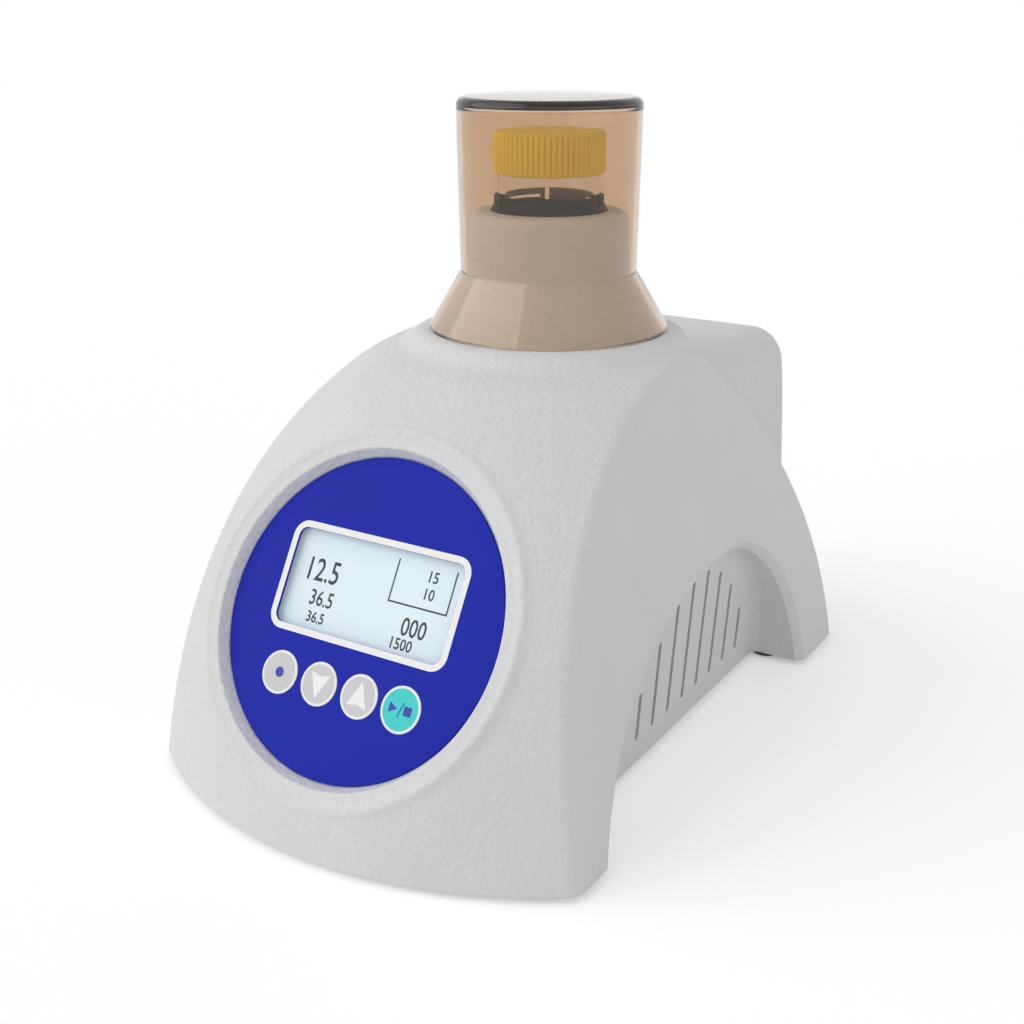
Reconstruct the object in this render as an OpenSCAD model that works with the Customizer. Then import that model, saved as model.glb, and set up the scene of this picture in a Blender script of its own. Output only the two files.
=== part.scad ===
// Bench bioreactor: a small instrument that spins a 50 ml culture tube under a smoked cover.
// All sizes are in millimetres. +Z is up, the control panel faces -Y, and the origin is on the
// table at the middle of the footprint.

/* [Stand] */
// Gap between the housing and the table
foot_gap = 2; // [1:0.5:4]
// Radius of a rubber foot
foot_r = 6; // [4.5:0.5:7]
// Distance from the footprint's middle back to the tube axis
axis_y = 11.9; // [5:0.1:25]

/* [Housing] */
// Thickness of the moulded walls
wall = 2.6; // [2:0.1:3.5]
// Radius of the front dome at its foot
dome_foot_r = 127.5; // [122:0.5:133]
// Radius that the dome's curve starts towards
dome_low_r = 133.2; // [128:0.2:138]
// Distance along the dome's axis that it starts towards
dome_start_t = 43; // [35:1:50]
// Radius that the dome's curve comes from at the top
dome_high_r = 115; // [110:0.5:120]
// Distance along the dome's axis that it comes from
dome_high_t = 97.7; // [90:0.1:105]
// Radius of the dome where its curve ends at the top
dome_top_r = 38.5; // [30:0.5:45]
// Backward lean of the dome's axis, in degrees
dome_lean = 12.8; // [8:0.2:16]
// How far the dome's curve runs on above the level top
dome_over = 2.9; // [1:0.1:6]
// Width of the round shoulder outside the cone's foot
shoulder_w = 9.9; // [8:0.1:14]
// Rounding of the shoulder's edge
shoulder_round = 6.5; // [3:0.5:7]

/* [Side faces] */
// Half width of the housing at the tube axis, at its lower edge
side_w = 69.4; // [64:0.2:74]
// Inward lean of a side face, in degrees
side_lean = 8.85; // [6:0.05:11]
// How far a side face closes in towards the rear, in degrees
side_taper = 4.8; // [2:0.1:7]

/* [Rear] */
// Distance from the tube axis to the rear edge
rear_y = 105.5; // [98:0.5:115]
// Curve of the rear slope: a larger value is straighter
rear_curve = 166; // [150:1:185]
// Distance from the tube axis to the socket block's rear face
block_y = 96; // [92:0.5:98]
// Half width of the socket block at its top
block_w = 38; // [34:0.5:42]
// Drop from the level top to the socket block's top
block_drop = 13.1; // [8:0.1:20]
// Rounding of the socket block's top corners
block_r = 12; // [6:0.5:16]
// Spread of the socket block's sides, in degrees
block_draft = 2.5; // [0:0.5:4]

/* [Side arches] */
// Distance from the tube axis forward to the arch's front foot
arch_front = 83; // [76:0.5:88]
// Distance from the tube axis back to the arch's centre
arch_mid = 15.5; // [10:0.5:20]
// Height of the arch
arch_h = 56.5; // [48:0.5:62]

/* [Vent walls] */
// Half width across the vent walls at the tube axis, at their foot
vent_w = 49.5; // [46:0.5:52]
// Outward lean of a vent wall, in degrees
vent_lean = 4.4; // [2:0.2:6]
// Thickness of a vent wall
vent_t = 2.4; // [1.8:0.1:3]
// Number of slots in a vent wall
vent_count = 8; // [4:1:10]
// Distance from one slot to the next
vent_pitch = 11.6; // [8:0.2:13]
// Width of a slot
vent_slot = 2.2; // [1.5:0.1:4]
// How much lower each slot ends than the one nearer the arch's middle, as the curve of an arch
vent_arch = 0.016; // [0.008:0.001:0.018]
// Height of the slots' lower ends, above the housing's lower edge
vent_low = 8.5; // [7:0.5:14]
// Height of the tallest slot's upper end, above the housing's lower edge
vent_high = 51; // [40:0.5:51]
// Distance of the slots' middle forward of the arch's centre
vent_forward = 4; // [0:0.5:6]

/* [Neck] */
// Drop from the cap's lower edge to the neck's top
neck_drop = 11.2; // [8:0.1:14]
// Length of the neck, above the cone
neck_len = 19; // [14:0.5:24]
// Height of the cone under the neck
cone_len = 17.9; // [12:0.1:24]
// Housing round the bearing at the neck's top
neck_top_wall = 1.5; // [1.2:0.1:2.5]
// Housing round the bearing where the neck meets the cone
neck_wall = 2.1; // [1.8:0.1:3]
// Spread of the cone at its foot
cone_spread = 10; // [6:0.5:14]
// Rounding of the neck's upper edge
neck_round = 3.5; // [1:0.5:4]

/* [Cover] */
// Room round the neck at the cover's waist, with the cover's thickness
cover_clear = 2.1; // [1.9:0.1:3]
// Swell of the cover above its waist
cover_swell = 1.05; // [0.5:0.05:2]
// Reach of the cover's rim outside the cone's foot
cover_reach = 2.5; // [2.2:0.1:4]
// Room above the cap
cover_room = 8.6; // [4:0.1:20]
// Thickness of the cover
cover_t = 1.6; // [1.2:0.1:1.8]
// Rounding of the cover's top edge
cover_round = 4; // [2:0.5:6]

/* [Control panel] */
// How far the panel's centre lies behind the dome's surface
panel_in = 15.6; // [14:0.1:17]
// Height of the panel's centre, above the housing's lower edge
panel_h = 60.4; // [58:0.1:63]
// Backward tilt of the panel, in degrees from upright
panel_tilt = 29.2; // [27:0.1:31]
// Radius of the round overlay
panel_r = 47.3; // [45:0.1:48]
// Thickness of the overlay
panel_t = 0.8; // [0.5:0.1:1]
// Height of the rim land above the overlay
land_h = 3; // [2:0.1:4]
// How much wider the recess is at the level of the land than the overlay
land_spread = 2; // [1:0.1:4]
// Width of the flat land
land_w = 4.2; // [3:0.1:6]
// Rounding of the land's outer edge
land_round = 3; // [1:0.5:4]

/* [Display] */
// Width of the window
window_w = 60.5; // [50:0.5:62]
// Height of the window
window_h = 28.8; // [22:0.1:29]
// Rounding of the window's corners
window_round = 3; // [1:0.5:5]
// Distance of the window's centre above the panel's centre
window_up = 7.4; // [6:0.1:9]
// Thickness of the display glass
glass_t = 1.6; // [1:0.1:2]

/* [Keys] */
// Radius of the three grey keys
key_r = 6.2; // [5:0.1:6.4]
// Radius of the start and stop key
start_r = 6.5; // [5:0.1:6.6]
// Distance from one key to the next
key_pitch = 14.85; // [14.6:0.05:16]
// Distance of the keys below the panel's centre
key_down = 21.2; // [20.5:0.1:24]
// Height of a key above the overlay
key_proud = 0.3; // [0.2:0.1:0.5]
// Travel of a key
key_travel = 0.5; // [0.3:0.1:0.5]
// Gap around a key
key_gap = 0.25; // [0.15:0.05:0.4]

/* [Tube and cap] */
// Outer radius of the culture tube
tube_r = 15; // [14.5:0.1:15.2]
// How much wider the tube is at its neck
tube_bead = 0.9; // [0.6:0.1:1.2]
// Thickness of the tube
tube_t = 1.2; // [1:0.1:1.5]
// Length of the tube
tube_len = 115; // [113:0.5:118]
// Length of the tube's pointed end
tube_tip = 14; // [10:0.5:18]
// Thickness of the cap's wall, with its ribs
cap_wall = 1.3; // [1.1:0.1:2]
// Height of the cap
cap_h = 12.8; // [11:0.2:15]
// Thickness of the cap's top
cap_top = 1.4; // [1.2:0.1:2]
// Number of grip ribs round the cap
cap_ribs = 62; // [40:1:80]
// Depth of a grip rib
cap_rib = 0.5; // [0.3:0.1:0.7]
// Thickness of the vent membrane
membrane_t = 1; // [0.6:0.1:1.4]

/* [Collet and carrier] */
// Thickness of the collet's fingers at the tube's neck
collet_t = 1; // [0.8:0.1:1.4]
// Width of the collet's flange
collet_flange_w = 1; // [0.8:0.1:1.5]
// Height of the conical flange above the neck
collet_flange_h = 2; // [1:0.1:2.2]
// Height of the collet above the neck
collet_up = 4.7; // [4:0.1:6]
// Number of collet fingers
collet_fingers = 3; // [3:1:5]
// Angle of the first slit between the fingers
collet_turn = 5.5; // [0:0.5:60]
// Width of a slit
collet_slit = 1.6; // [1:0.1:2]
// Thickness of the tube carrier round the tube
carrier_wall = 2.5; // [2.5:0.1:3.5]
// Height of the carrier's lower end, above the housing's lower edge
carrier_low = 62; // [60:0.5:64]
// Thickness of the carrier under the tube
carrier_floor = 9; // [8:0.5:12]

/* [Drive] */
// Section of the bearing, from its bore to its outside
bearing_deep = 6; // [5.7:0.1:7]
// Width of the bearing
bearing_w = 7; // [5:0.5:8]
// Radius of a bearing ball
ball_r = 1.7; // [1.4:0.1:1.8]
// Number of bearing balls
ball_count = 16; // [10:1:18]
// Radius of the motor
motor_r = 19; // [16:0.5:21]
// Length of the motor
motor_len = 30; // [26:0.5:33]
// Radius of the motor shaft
shaft_r = 2.5; // [2:0.1:3]
// Height of the motor plate's underside, above the housing's lower edge
plate_low = 38.5; // [37.5:0.5:40]
// Thickness of the motor plate
plate_t = 3; // [2:0.5:4]
// Half spacing of the motor plate's posts
post_x = 25; // [24.5:0.5:27]

/* [Heating and cooling] */
// Thickness of the thermal block round the carrier
thermal_wall = 9.5; // [8:0.5:11]
// How far the thermal block reaches below the tube
thermal_drop = 3; // [1:0.5:5]
// Room between the thermal block and the housing's top
thermal_room = 3.5; // [2:0.5:8]
// Thickness of the foam jacket
foam_t = 5; // [3:0.5:6]
// Width of the cooling module and of the heat sink
sink_w = 40; // [36:0.5:42]
// Thickness of the cooling module
module_t = 3.6; // [3:0.1:4.5]
// Depth of the heat sink
sink_d = 26; // [20:0.5:28]
// Number of heat sink fins
fin_count = 9; // [5:1:11]
// Depth of the fan
fan_d = 10; // [8:0.5:12]
// Number of fan blades
blade_count = 7; // [5:1:9]

/* [Rear sockets] */
// Height of the sockets' centres, above the housing's lower edge
socket_h = 74; // [68:0.5:82]
// Width of the power switch's body
switch_w = 19; // [16:0.5:21]
// Height of the power switch's body
switch_h = 13; // [12:0.5:15]
// Tilt of the rocker each way, in degrees
rocker_tilt = 9; // [6:0.5:10]
// Radius of the power inlet's barrel
inlet_r = 5.5; // [5:0.1:6]

/* [Hidden] */

housing_white = [0.9, 0.91, 0.92];
panel_blue = [0.15, 0.19, 0.69];
key_grey = [0.85, 0.85, 0.86];
key_turquoise = [0.24, 0.85, 0.84];
cap_yellow = [0.88, 0.72, 0.2];
cover_brown = [0.65, 0.5, 0.42, 0.45];
collet_black = [0.13, 0.11, 0.11];
board_green = [0.1, 0.4, 0.22];
steel_grey = [0.7, 0.71, 0.73];

// Clearances
fit_gap = 0.3;       // between parts that move past each other
seat_gap = 0.02;     // round a pressed or screwed seat in one body
run_gap = 0.05;      // radial running clearance of a shaft
tray_gap = 0.25;     // round the tray inside the housing
reach = 300;         // larger than the whole part
base = foot_gap;     // level of the housing's lower edge

// Radii, from the tube outwards
tube_neck_r = tube_r + tube_bead;
cap_r = tube_neck_r + fit_gap + cap_wall;
grip_r = tube_neck_r + 0.2;
collet_r = grip_r + collet_t;
collet_flange_r = collet_r + collet_flange_w;
carrier_r = tube_r + carrier_wall;
bearing_r = carrier_r + bearing_deep;
neck_top_r = bearing_r + neck_top_wall;
neck_r = bearing_r + neck_wall;
cone_r = neck_r + cone_spread;
shoulder_r = cone_r + shoulder_w;
cover_waist_r = neck_r + cover_clear;
cover_r = cover_waist_r + cover_swell;
cover_rim_r = cone_r + cover_reach;
block_in_r = carrier_r + 1;
block_out_r = block_in_r + thermal_wall;

// Levels above the table, from the carrier up to the cover
carrier_z = base + carrier_low;
tube_z = carrier_z + carrier_floor;
tube_top = tube_z + tube_len;
membrane_z = tube_top + fit_gap;
cap_top_z = membrane_z + membrane_t + fit_gap + cap_top;
cap_z = cap_top_z - cap_h;
neck_z = cap_z - neck_drop;
cone_z = neck_z - neck_len;
top_z = cone_z - cone_len;
top_h = top_z - base;
block_h = top_h - block_drop;
rim_z = top_z;
cover_z = cap_top_z + cover_room + cover_t;
waist_z = cone_z - 0.5;
plate_z = base + plate_low;
stand_z = plate_z + plate_t;
thermal_z = tube_z - thermal_drop;
thermal_len = top_z - wall - thermal_room - thermal_z;
tray_t = 2.5;        // tray floor
tray_z = base + tray_t;
motor_z = plate_z - motor_len;
bearing_z = cone_z - bearing_w;
carrier_top = neck_z - 12;
hub_r = 8;
hub_z = stand_z + 4;
hub_flange = 3;
module_y = block_out_r - 3;
sink_y = module_y + module_t;
fan_y = sink_y + sink_d + fit_gap;
sink_z = base + block_h - wall - 1.4 - sink_w;
panel_floor = 2.2;   // housing thickness under the overlay
land_out = 30;       // reach of the cut above the land
key_count = 4;
board_t = 1.6;
board_depth = 11.6;  // control board's rear face below the overlay
ev_tilt = 90 - panel_tilt;
screw_r = 1.5;
pilot_r = screw_r - 0.3;          // bore that a screw bites into
core_r = pilot_r - seat_gap;      // screw inside such a bore
bolt_r = 11;         // circle of the hub, motor and stand screws
screw_head_r = 2.8;
screw_head_h = 1.8;
flush_head_h = 1.3;  // head of a countersunk screw
main_z = tray_z + 6; // main board's underside
land_in_r = panel_r + land_spread;
land_r = land_in_r + land_w;
board_w = 2 * panel_r - 16.6;
board_l = 2 * panel_r - 20.6;
main_w = 76;
main_l = 62;
main_y = -65;
arc_steps = 24;

// Points of a cubic curve with two end points and two handles
function curve(a, b, c, d, n) = [
    for (i = [0:n])
        let (t = i / n)
        pow(1 - t, 3) * a + 3 * t * pow(1 - t, 2) * b + 3 * t * t * (1 - t) * c + pow(t, 3) * d
];

// Points of an arc in the plane
function arc(cx, cy, r, from, to, n) = [
    for (i = [0:n])
        let (a = from + (to - from) * i / n)
        [cx + r * cos(a), cy + r * sin(a)]
];

// Puts children on the tube axis
module at_axis() {
    translate([0, axis_y, 0])
        children();
}

// Puts children on the panel: X across, Y up the panel, Z out of it
module at_panel() {
    translate([0, axis_y - panel_y, base + panel_h])
        rotate([ev_tilt, 0, 0])
            children();
}

// Turns an outline drawn as (Y, Z) into a solid along X
module along_x(low, high) {
    translate([low, 0, 0])
        rotate([90, 0, 90])
            linear_extrude(high - low)
                children();
}

// Repeats children on both sides
module both_sides() {
    children();
    mirror([1, 0, 0])
        children();
}

module rounded_rect(w, h, r) {
    polygon(concat(
        arc(w / 2 - r, h / 2 - r, r, 0, 90, 6),
        arc(r - w / 2, h / 2 - r, r, 90, 180, 6),
        arc(r - w / 2, r - h / 2, r, 180, 270, 6),
        arc(w / 2 - r, r - h / 2, r, 270, 360, 6)
    ));
}

// Profile of the dome, as (radius, distance along its axis)
dome_low_t = -30;
dome_high = top_h + dome_over;
dome_y = 1.6;
function dome_profile(inset) = curve(
    [dome_foot_r - inset, dome_low_t],
    [dome_low_r - inset, dome_start_t],
    [dome_high_r - inset, dome_high_t],
    [dome_top_r - inset, dome_high],
    arc_steps
);

// Distance from the tube axis forward to the dome's surface, at a height above its lower edge
dome_front_points = [
    for (p = dome_profile(0))
        [
            p[0] * sin(dome_lean) + p[1] * cos(dome_lean),
            p[0] * cos(dome_lean) - p[1] * sin(dome_lean) - dome_y
        ]
];
function dome_front(h) = lookup(h, dome_front_points);
panel_y = dome_front(panel_h) - panel_in;

// Half width of the housing at its lower edge, at a distance behind the tube axis
function side_x(y) = side_w - y * tan(side_taper);

// Front dome: a body of revolution on a leaning axis
module dome(inset) {
    translate([0, dome_y, base])
        rotate([-dome_lean, 0, 0])
            rotate_extrude($fn = 96)
                polygon(concat([[0, dome_low_t]], dome_profile(inset), [[0, dome_high]]));
}

// Everything on the inner side of one side face
module side_half(inset) {
    translate([side_w - inset, 0, base])
        rotate([0, -side_lean, side_taper])
            translate([-reach, -reach, -reach])
                cube([reach, 2 * reach, 2 * reach]);
}

// Rear slope and level top, as one outline along X
module rear_outline(inset, low, high) {
    steps = 20;
    slope = [
        for (i = [0:steps])
            let (z = top_h * i / steps)
            [rear_y - inset - z * z / rear_curve, base + z]
    ];
    clipped = [for (p = slope) if (p[1] >= low && p[1] <= high) p];
    first = rear_y - inset - pow(low - base, 2) / rear_curve;
    last = rear_y - inset - pow(high - base, 2) / rear_curve;
    polygon(concat([[-reach, low], [first, low]], clipped, [[last, high], [-reach, high]]));
}

// Main body between the side faces
module main_body(inset, low, high) {
    intersection() {
        dome(inset);
        side_half(inset);
        mirror([1, 0, 0])
            side_half(inset);
        along_x(-reach, reach)
            rear_outline(inset, low, high);
    }
}

// Socket block behind the tube, seen from behind as a drafted outline
module socket_block(inset, low) {
    w = block_w - inset;
    h = base + block_h - inset;
    r = block_r - inset;
    spread = (h - r - low) * tan(block_draft);
    outline = concat(
        [[w + spread, low]],
        arc(w - r, h - r, r, 0, 90, 10),
        arc(r - w, h - r, r, 90, 180, 10),
        [[-w - spread, low]]
    );
    rotate([90, 0, 180])
        linear_extrude(block_y - inset)
            polygon(outline);
}

// Round shoulder, cone and neck on the tube axis
module neck_outer() {
    rotate_extrude($fn = 96)
        polygon(concat(
            [[0, top_z - 40], [shoulder_r, top_z - 40]],
            arc(shoulder_r - shoulder_round, top_z - shoulder_round, shoulder_round, 0, 90, 8),
            [[cone_r, top_z], [neck_r, cone_z]],
            arc(neck_top_r - neck_round, neck_z - neck_round, neck_round, 0, 90, 8),
            [[0, neck_z]]
        ));
}

// Hollow under the shoulder, and the bore up to the bearing seat
module neck_inner() {
    rotate_extrude($fn = 96)
        polygon([
            [0, top_z - 41], [shoulder_r - wall, top_z - 41],
            [shoulder_r - wall, top_z - shoulder_round], [shoulder_r - shoulder_round, top_z - wall],
            [cone_r - wall - 1, top_z - wall], [bearing_r + seat_gap, cone_z - bearing_w - 2],
            [bearing_r + seat_gap, cone_z], [bearing_r - 1.5, cone_z],
            [bearing_r - 1.5, neck_z - wall], [0, neck_z - wall]
        ]);
}

// Outline of a side arch, larger by grow
function arch_outline(grow) = concat(
    curve(
        [-arch_front - grow, 0],
        [-arch_front + 15 - grow, arch_h - 12 + grow],
        [-arch_mid - 6, arch_h + grow],
        [arch_mid, arch_h + grow],
        16
    ),
    arc(arch_mid, 0, arch_h + grow, 90, 0, 16)
);

// Arch as a solid on the right side, from x = low outwards
module arch_solid(grow, low) {
    along_x(low, reach)
        translate([0, base])
            polygon(concat(arch_outline(grow), [[arch_mid + arch_h + grow, -10], [-arch_front - grow, -10]]));
}

// Everything inside a vent wall's face on the right, moved outwards by shift
module vent_half(shift) {
    translate([vent_w + shift, 0, base])
        rotate([0, vent_lean, side_taper])
            translate([-reach, -reach, -reach])
                cube([reach, 2 * reach, 2 * reach]);
}

// How far in the screws and feet on the right lie: from the front, the rear, the side and the dome
screw_front_in = 32.2;
screw_rear_in = 10.5;
screw_side_in = 11.5;
screw_heel_in = 9.5;
screw_dome_in = 11;
foot_front_in = 36.2;
foot_rear_in = 27.9;
foot_side_in = 25;
foot_heel_in = 16.4;

screw_front = screw_front_in - dome_front(0);
screw_rear = rear_y - screw_rear_in;
screw_dome_x = sqrt(pow(dome_front(0) - screw_dome_in, 2) - pow(screw_front, 2));
screw_places = [
    [min(side_x(screw_front) - screw_side_in, screw_dome_x), screw_front],
    [side_x(screw_rear) - screw_heel_in, screw_rear]
];
foot_front = foot_front_in - dome_front(0);
foot_rear = rear_y - foot_rear_in;
foot_places = [
    [side_x(foot_front) - foot_side_in, foot_front],
    [side_x(foot_rear) - foot_heel_in, foot_rear]
];
screw_boss_r = 4.2;
screw_boss_h = 18;
screw_rib_t = 2;

// Screw bosses, each tied to the side wall by a rib
module housing_bosses() {
    both_sides()
        for (p = screw_places)
            translate([p[0], p[1], tray_z + tray_gap]) {
                cylinder(r = screw_boss_r, h = screw_boss_h, $fn = 32);
                translate([0, -screw_rib_t / 2, 0])
                    cube([side_w, screw_rib_t, screw_boss_h]);
            }
}

module housing_boss_holes() {
    both_sides()
        for (p = screw_places)
            translate([p[0], p[1], tray_z - 1])
                cylinder(r = screw_r + seat_gap, h = screw_boss_h - 2, $fn = 32);
}

key_places = [
    for (i = [0:key_count - 1])
        [(i - (key_count - 1) / 2) * key_pitch, -key_down]
];
function key_radius(i) = i < key_count - 1 ? key_r : start_r;

glass_w = window_w + 2.6;
glass_h = window_h + 2.6;
glass_z = -panel_t - 0.2 - glass_t;
floor_z = -panel_t - panel_floor;
collar_r = land_in_r + 2;

// What fills the hollow behind the panel's recess
module panel_plug() {
    at_panel()
        translate([0, 0, floor_z])
            cylinder(r = collar_r, h = land_out, $fn = 96);
}

// Raised ring round the recess, with a rounded outer edge
module panel_collar() {
    at_panel()
        rotate_extrude($fn = 96)
            polygon(concat(
                [[0, floor_z], [land_r + land_round, floor_z]],
                arc(land_r, land_h - land_round, land_round, 0, 90, 6),
                [[0, land_h]]
            ));
}

// Recess, land, window and key holes
module panel_cuts() {
    at_panel() {
        rotate_extrude($fn = 96)
            polygon([
                [0, land_h], [land_r, land_h], [land_r + land_out / 3, land_h + land_out / 9],
                [land_r + land_out / 3, land_out], [0, land_out]
            ]);
        translate([0, 0, -panel_t])
            cylinder(r1 = panel_r + 0.1, r2 = land_in_r, h = land_h + panel_t + 0.01, $fn = 96);
        translate([0, window_up, floor_z - 1])
            linear_extrude(panel_floor + 2)
                rounded_rect(glass_w + 2 * fit_gap, glass_h + 2 * fit_gap, window_round + fit_gap);
        for (i = [0:key_count - 1])
            translate([key_places[i][0], key_places[i][1], floor_z - 1])
                cylinder(r = key_radius(i) + key_gap, h = panel_floor + 2, $fn = 48);
    }
}

// Places of the control board's spacers, on the panel
board_up = 1;
spacer_places = [
    for (x = [-1, 1], y = [-1, 1])
        [x * (board_w / 2 - 5), board_up + y * (board_l / 2 - 5)]
];
spacer_len = board_depth - board_t + floor_z;

usb_w = 12;
usb_h = 11;
socket_z = base + socket_h;
switch_x = 19;
inlet_x = -20;

module rear_cuts() {
    translate([-switch_x, block_y, socket_z])
        cube([switch_w + 2 * fit_gap, 3 * wall, switch_h + 2 * fit_gap], center = true);
    translate([0, block_y, socket_z])
        cube([usb_w + 2 * fit_gap, 3 * wall, usb_h + 2 * fit_gap], center = true);
    translate([-inlet_x, block_y - 2 * wall, socket_z])
        rotate([-90, 0, 0])
            cylinder(r = inlet_r + fit_gap, h = 4 * wall, $fn = 48);
}

module upper_housing() {
    color(housing_white)
        at_axis()
            difference() {
                union() {
                    difference() {
                        union() {
                            main_body(0, base, top_z);
                            socket_block(0, base);
                            translate([0, -axis_y, 0])
                                panel_collar();
                            intersection() {
                                neck_outer();
                                translate([-reach / 2, -reach / 2, base])
                                    cube([reach, reach, reach]);
                            }
                        }
                        difference() {
                            union() {
                                main_body(wall, base - 1, top_z - wall);
                                socket_block(wall, base - 1);
                                neck_inner();
                            }
                            translate([0, -axis_y, 0])
                                panel_plug();
                            both_sides()
                                difference() {
                                    arch_solid(wall, 0);
                                    vent_half(-vent_t);
                                }
                        }
                    }
                    intersection() {
                        housing_bosses();
                        main_body(0.1, base, top_z);
                    }
                }
                both_sides() {
                    difference() {
                        arch_solid(0, 0);
                        vent_half(0);
                    }
                    vent_slots();
                }
                translate([0, 0, neck_z - 2 * wall])
                    cylinder(r = collet_flange_r + fit_gap, h = 3 * wall, $fn = 96);
                housing_boss_holes();
                rear_cuts();
                translate([0, -axis_y, 0])
                    panel_cuts();
            }
}

post_places = [[-post_x, -post_x], [post_x, -post_x], [-post_x, post_x], [post_x, post_x]];
board_posts = [
    for (x = [-1, 1], y = [-1, 1])
        [x * (main_w / 2 - 4), main_y + y * (main_l / 2 - 4)]
];
foot_stem_r = 2.2;

// The slots of one vent wall, on the right
module vent_slots() {
    along_x(vent_w - 4 * vent_t, reach)
        for (i = [0:vent_count - 1]) {
            y = (i - (vent_count - 1) / 2) * vent_pitch;
            peak = vent_high - pow(y, 2) * vent_arch;
            translate([arch_mid - vent_forward + y, base + vent_low])
                vent_slot_shape(max(peak - vent_low, 2 * vent_slot));
        }
}

// One slot with round ends
module vent_slot_shape(length) {
    r = vent_slot / 2;
    translate([-r, r])
        square([vent_slot, length - vent_slot]);
    for (y = [r, length - r])
        translate([0, y])
            circle(r = r, $fn = 24);
}

module base_tray() {
    color(housing_white)
        at_axis()
            difference() {
                union() {
                    difference() {
                        main_body(wall + tray_gap, base, tray_z);
                        both_sides()
                            difference() {
                                arch_solid(wall + tray_gap, 0);
                                vent_half(-vent_t - tray_gap);
                            }
                    }
                    for (p = board_posts)
                        translate([p[0], p[1], tray_z - 0.5])
                            cylinder(r = 3.2, h = main_z - tray_z + 0.5, $fn = 32);
                }
                both_sides()
                    for (p = screw_places)
                        translate([p[0], p[1], base])
                            flush_hole();
                both_sides()
                    for (p = foot_places)
                        translate([p[0], p[1], base - 1])
                            cylinder(r = foot_stem_r + seat_gap, h = 2 * tray_t, $fn = 32);
                for (p = board_posts)
                    translate([p[0], p[1], tray_z])
                        cylinder(r = pilot_r, h = 2 * main_z, $fn = 24);
                for (p = post_places)
                    translate([p[0], p[1], base])
                        flush_hole();
            }
}

module rubber_feet() {
    color([0.2, 0.2, 0.21])
        at_axis()
            both_sides()
                for (p = foot_places)
                    translate([p[0], p[1], 0])
                        rotate_extrude($fn = 48)
                            polygon([
                                [0, 0], [foot_r - 2, 0], [foot_r - 0.6, foot_gap * 0.4], [foot_r, foot_gap],
                                [foot_stem_r, foot_gap], [foot_stem_r, tray_z + 0.05],
                                [foot_stem_r + 0.6, tray_z + 0.05], [foot_stem_r - 0.4, tray_z + 2],
                                [0, tray_z + 2]
                            ]);
}

// A pan-head screw pointing up, with its head's lower face at the origin
module screw(r, head_r, head_h, len) {
    difference() {
        union() {
            cylinder(r = head_r, h = head_h, $fn = 32);
            cylinder(r = r, h = head_h + len, $fn = 24);
        }
        for (a = [0, 90])
            rotate([0, 0, a])
                cube([head_r * 1.1, 0.6, head_h], center = true);
    }
}

// A countersunk screw pointing up, with its head's flat face at the origin
module flush_screw(len) {
    difference() {
        rotate_extrude($fn = 32)
            polygon([[0, 0], [screw_head_r, 0], [screw_r, flush_head_h], [screw_r, len], [0, len]]);
        for (a = [0, 90])
            rotate([0, 0, a])
                cube([screw_head_r * 1.1, 0.6, 1], center = true);
    }
}

// The countersunk hole for it in the tray, with its mouth at the origin
module flush_hole() {
    rotate_extrude($fn = 32)
        polygon([
            [0, -1], [screw_head_r + 0.3, -1], [screw_head_r + 0.3, 0], [screw_r + 0.2, flush_head_h],
            [screw_r + 0.2, 2 * tray_t], [0, 2 * tray_t]
        ]);
}

module case_screws() {
    color(steel_grey)
        at_axis()
            both_sides()
                for (p = screw_places)
                    translate([p[0], p[1], base])
                        flush_screw(14);
}

module cover() {
    inner_waist = cover_waist_r - cover_t;
    outer_top = cover_z - cover_round;
    slope_t = cover_t * 1.2;
    color(cover_brown)
        at_axis()
            rotate_extrude($fn = 96)
                polygon(concat(
                    [[cover_rim_r - slope_t, rim_z], [cover_rim_r, rim_z], [cover_rim_r, rim_z + 0.6],
                     [cover_waist_r, waist_z + 0.8]],
                    arc(cover_r - cover_round, outer_top, cover_round, 0, 90, 8),
                    [[0, cover_z], [0, cover_z - cover_t]],
                    arc(cover_r - cover_round, outer_top, cover_round - cover_t, 90, 0, 8),
                    [[inner_waist, waist_z + 0.8]]
                ));
}

// Ribbed outline of the cap
module cap_outline() {
    steps = 4 * cap_ribs;
    polygon([
        for (i = [0:steps - 1])
            let (r = cap_r - (i % 4 < 2 ? 0 : cap_rib), a = 360 * i / steps)
            [r * cos(a), r * sin(a)]
    ]);
}

module tube_cap() {
    bore_r = tube_neck_r + fit_gap;
    color(cap_yellow)
        at_axis()
            difference() {
                union() {
                    translate([0, 0, cap_z])
                        linear_extrude(cap_h - 0.8)
                            cap_outline();
                    translate([0, 0, cap_z])
                        cylinder(r = cap_r - cap_rib, h = cap_h, $fn = 96);
                }
                translate([0, 0, cap_z - 1])
                    cylinder(r = bore_r, h = cap_h - cap_top + 1, $fn = 96);
                for (a = [0:72:359])
                    rotate([0, 0, a])
                        translate([8, 0, cap_z])
                            cylinder(r = 1.4, h = 2 * cap_h, $fn = 24);
            }
}

module vent_membrane() {
    color("white")
        at_axis()
            translate([0, 0, membrane_z])
                cylinder(r = tube_neck_r - 0.1, h = membrane_t, $fn = 64);
}

module culture_tube() {
    inner = tube_r - tube_t;
    tip_r = 3;
    neck_low = neck_z - 3;
    color([0.92, 0.93, 0.93, 0.4])
        at_axis()
            rotate_extrude($fn = 96)
                polygon([
                    [0, tube_z], [tip_r, tube_z], [tube_r, tube_z + tube_tip], [tube_r, neck_low],
                    [tube_neck_r, neck_low + 2], [tube_neck_r, tube_top], [inner, tube_top],
                    [inner, tube_z + tube_tip + 0.5], [tip_r - 0.5, tube_z + tube_t], [0, tube_z + tube_t]
                ]);
}

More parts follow.
